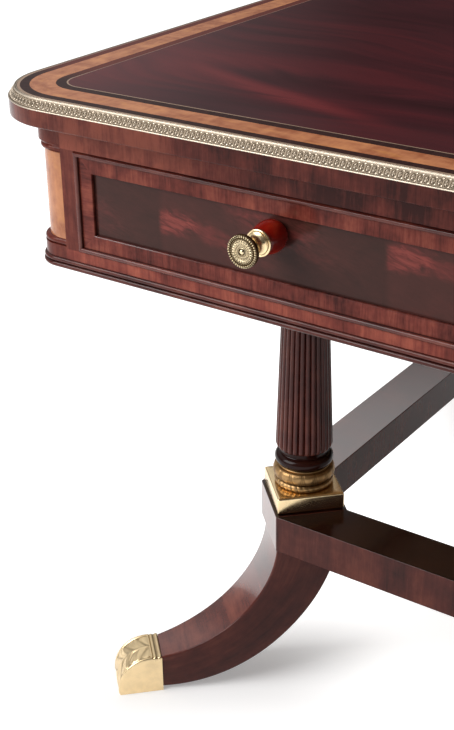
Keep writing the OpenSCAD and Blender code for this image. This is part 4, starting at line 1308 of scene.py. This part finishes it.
class TABLE_OT_stage(bpy.types.Operator):
    """Floor, lamps, even light and camera"""

    bl_idname = "coffee_table.stage"
    bl_label = "Stage"

    def execute(self, context):
        stage = context.scene.coffee_table.stage
        self.floor(stage)
        self.sky(context, stage)
        self.lamp("key_lamp", (-1.7, -2.1, 1.9), (-0.3, -0.2, 0.35), 1.8, stage.key_power)
        self.lamp("top_lamp", (0.2, 0.6, 2.6), (0, 0, 0.4), 2.6, stage.top_power)
        self.camera(context)
        context.scene.view_settings.view_transform = "Standard"
        return {"FINISHED"}

    @staticmethod
    def floor(stage):
        """A wide square that shows white but keeps its shadows. Round each leg the white it shows
        is lowered into a painted shadow, and in reflections its glow is lower under the table as
        painted shade.
        """
        reach = np.array([-40.0, 40.0])
        x, y = np.meshgrid(reach, reach, indexing="ij")
        mesh = bpy.data.meshes.new("floor")
        mesh.from_pydata(np.stack([x, y, 0 * x - 0.0002], -1).reshape(-1, 3).tolist(), [],
                         [(0, 2, 3, 1)])
        floor = bpy.data.objects.new("floor", mesh)
        bpy.context.scene.collection.objects.link(floor)
        f = Finish("floor_white")
        f.set(Base_Color=rgba(stage.floor), Roughness=0.9, Specular_IOR_Level=0.1)
        path = f.node("ShaderNodeLightPath")
        seen = [Reading(f, path.outputs[ray]) for ray in
                ("Is Camera Ray", "Is Glossy Ray", "Is Transmission Ray")]
        x, y = f.spot()[:2]
        # Painted shade in reflections: the glow that glossy rays see is lower under the table and
        # grows away from it
        away = f.step((x.size() - 0.5).most(y.size() - 0.33), -0.05, 0.3) * 0.4
        # Painted shadow: round each leg the white that the camera sees is lowered from 0.8 to 0.3
        reach = x.size() - (HALF_X - COLUMN_IN)
        side = (y - MID_Y).size() - (HALF_Y - COLUMN_IN)
        along, across = (reach + side) * 0.7071, (reach - side) * 0.7071
        past = along - along.most(0.04).least(0.15)
        off = (past ** 2.0 + across ** 2.0) ** 0.5
        plain = 0.8 - f.fall(off, 0.0, 0.15) * 0.5
        glow = f.add("ShaderNodeEmission", {}, {
            "Color": (1, 1, 1, 1),
            "Strength": seen[0] * plain + (seen[1] + seen[2]) * (away + stage.floor_glow)})
        both = f.add("ShaderNodeAddShader", {}, {0: Reading(f, f.surface.outputs[0]), 1: glow})
        f.feed(f.tree.nodes["Material Output"].inputs["Surface"], both)
        mesh.materials.append(f.material)

    @staticmethod
    def sky(context, stage):
        """Even white light that grows from a dim horizon to a brighter ceiling and is dark
        behind the camera, as in a studio."""
        f = Finish("studio", world=True)
        way = f.add("ShaderNodeTexCoord", out="Generated")
        x, y, height = f.axes(way)
        behind = f.add("ShaderNodeVectorMath", {"operation": "DOT_PRODUCT"},
                       {0: way, 1: Vector((0.62, -0.72, 0.3)).normalized()}, out="Value")
        light = (0.4 + f.step(height, 0.2, 0.6) * 0.6) * (1.0 - f.step(behind, 0.35, 0.85) * 0.8)
        shade_side = f.step(y, 0.3, 0.6) * f.step(x, -0.66, -0.46) * f.fall(height, 0.39, 0.5)
        path = f.node("ShaderNodeLightPath")
        seen = Reading(f, path.outputs["Is Camera Ray"])
        shiny = Reading(f, path.outputs["Is Glossy Ray"])
        light = light * (1.0 + shiny * (0.7 - shade_side * 1.5))
        f.feed(f.surface.inputs["Strength"], seen + (1.0 - seen) * light * stage.sky)
        f.feed(f.surface.inputs["Color"], (1, 1, 1, 1))
        context.scene.world = f.material

    @staticmethod
    def lamp(name, place, aim, size, power):
        """A large soft lamp that looks at a point."""
        data = bpy.data.lights.new(name, "AREA")
        data.shape = "SQUARE"
        data.size = size
        data.energy = power
        lamp = bpy.data.objects.new(name, data)
        lamp.location = place
        lamp.rotation_mode = "QUATERNION"
        lamp.rotation_quaternion = (Vector(aim) - Vector(place)).to_track_quat("-Z", "Y")
        bpy.context.scene.collection.objects.link(lamp)

    @staticmethod
    def camera(context):
        """The camera stands to the right of the front left corner and looks down to it."""
        data = bpy.data.cameras.new("camera")
        focal_length, picture_height = 1359.76, 730
        data.sensor_width = 36
        data.lens = 36 * focal_length / picture_height
        data.clip_start, data.clip_end = 0.05, 100
        camera = bpy.data.objects.new("camera", data)
        right = Vector((0.81908157, 0.57348249, -0.01494021))
        up = Vector((-0.2421898, 0.36928348, 0.89720333))
        back = right.cross(up)
        turn = Matrix((right, up, back)).transposed().to_4x4()
        start = Vector((-HALF_X + 0.6539, MID_Y - HALF_Y - 0.6301, 0.7391))
        camera.matrix_world = Matrix.Translation(start) @ turn
        context.scene.collection.objects.link(camera)
        context.scene.camera = camera


class CoffeeTableSettings(bpy.types.PropertyGroup):
    """All settings of the table"""

    top: PointerProperty(type=TopSettings)
    wood: PointerProperty(type=WoodSettings)
    brass: PointerProperty(type=BrassSettings)
    column: PointerProperty(type=ColumnSettings)
    stage: PointerProperty(type=StageSettings)


PIECES = (TABLE_OT_top_bands, TABLE_OT_edge, TABLE_OT_frieze, TABLE_OT_drawers, TABLE_OT_knobs,
          TABLE_OT_columns, TABLE_OT_column_brass, TABLE_OT_base_frame, TABLE_OT_legs,
          TABLE_OT_toe_caps, TABLE_OT_inside, TABLE_OT_stage)


class TABLE_PT_pieces(bpy.types.Panel):
    """Lists the table's pieces and settings"""

    bl_idname = "TABLE_PT_pieces"
    bl_label = "Coffee table"
    bl_space_type = "VIEW_3D"
    bl_region_type = "UI"
    bl_category = "Table"

    def draw(self, context):
        for piece in PIECES:
            self.layout.operator(piece.bl_idname)
        settings = context.scene.coffee_table
        for group in ("top", "wood", "brass", "column", "stage"):
            box = self.layout.box()
            box.label(text=group.capitalize())
            for name in getattr(settings, group).__annotations__:
                box.prop(getattr(settings, group), name)


CLASSES = (TopSettings, WoodSettings, BrassSettings, ColumnSettings, StageSettings,
           CoffeeTableSettings, *PIECES, TABLE_PT_pieces)


def register():
    for one in CLASSES:
        bpy.utils.register_class(one)
    bpy.types.Scene.coffee_table = PointerProperty(type=CoffeeTableSettings)


def unregister():
    del bpy.types.Scene.coffee_table
    for one in reversed(CLASSES):
        bpy.utils.unregister_class(one)


def main():
    register()
    for piece in PIECES:
        group, name = piece.bl_idname.split(".")
        getattr(getattr(bpy.ops, group), name)()


if __name__ == "__main__":
    main()
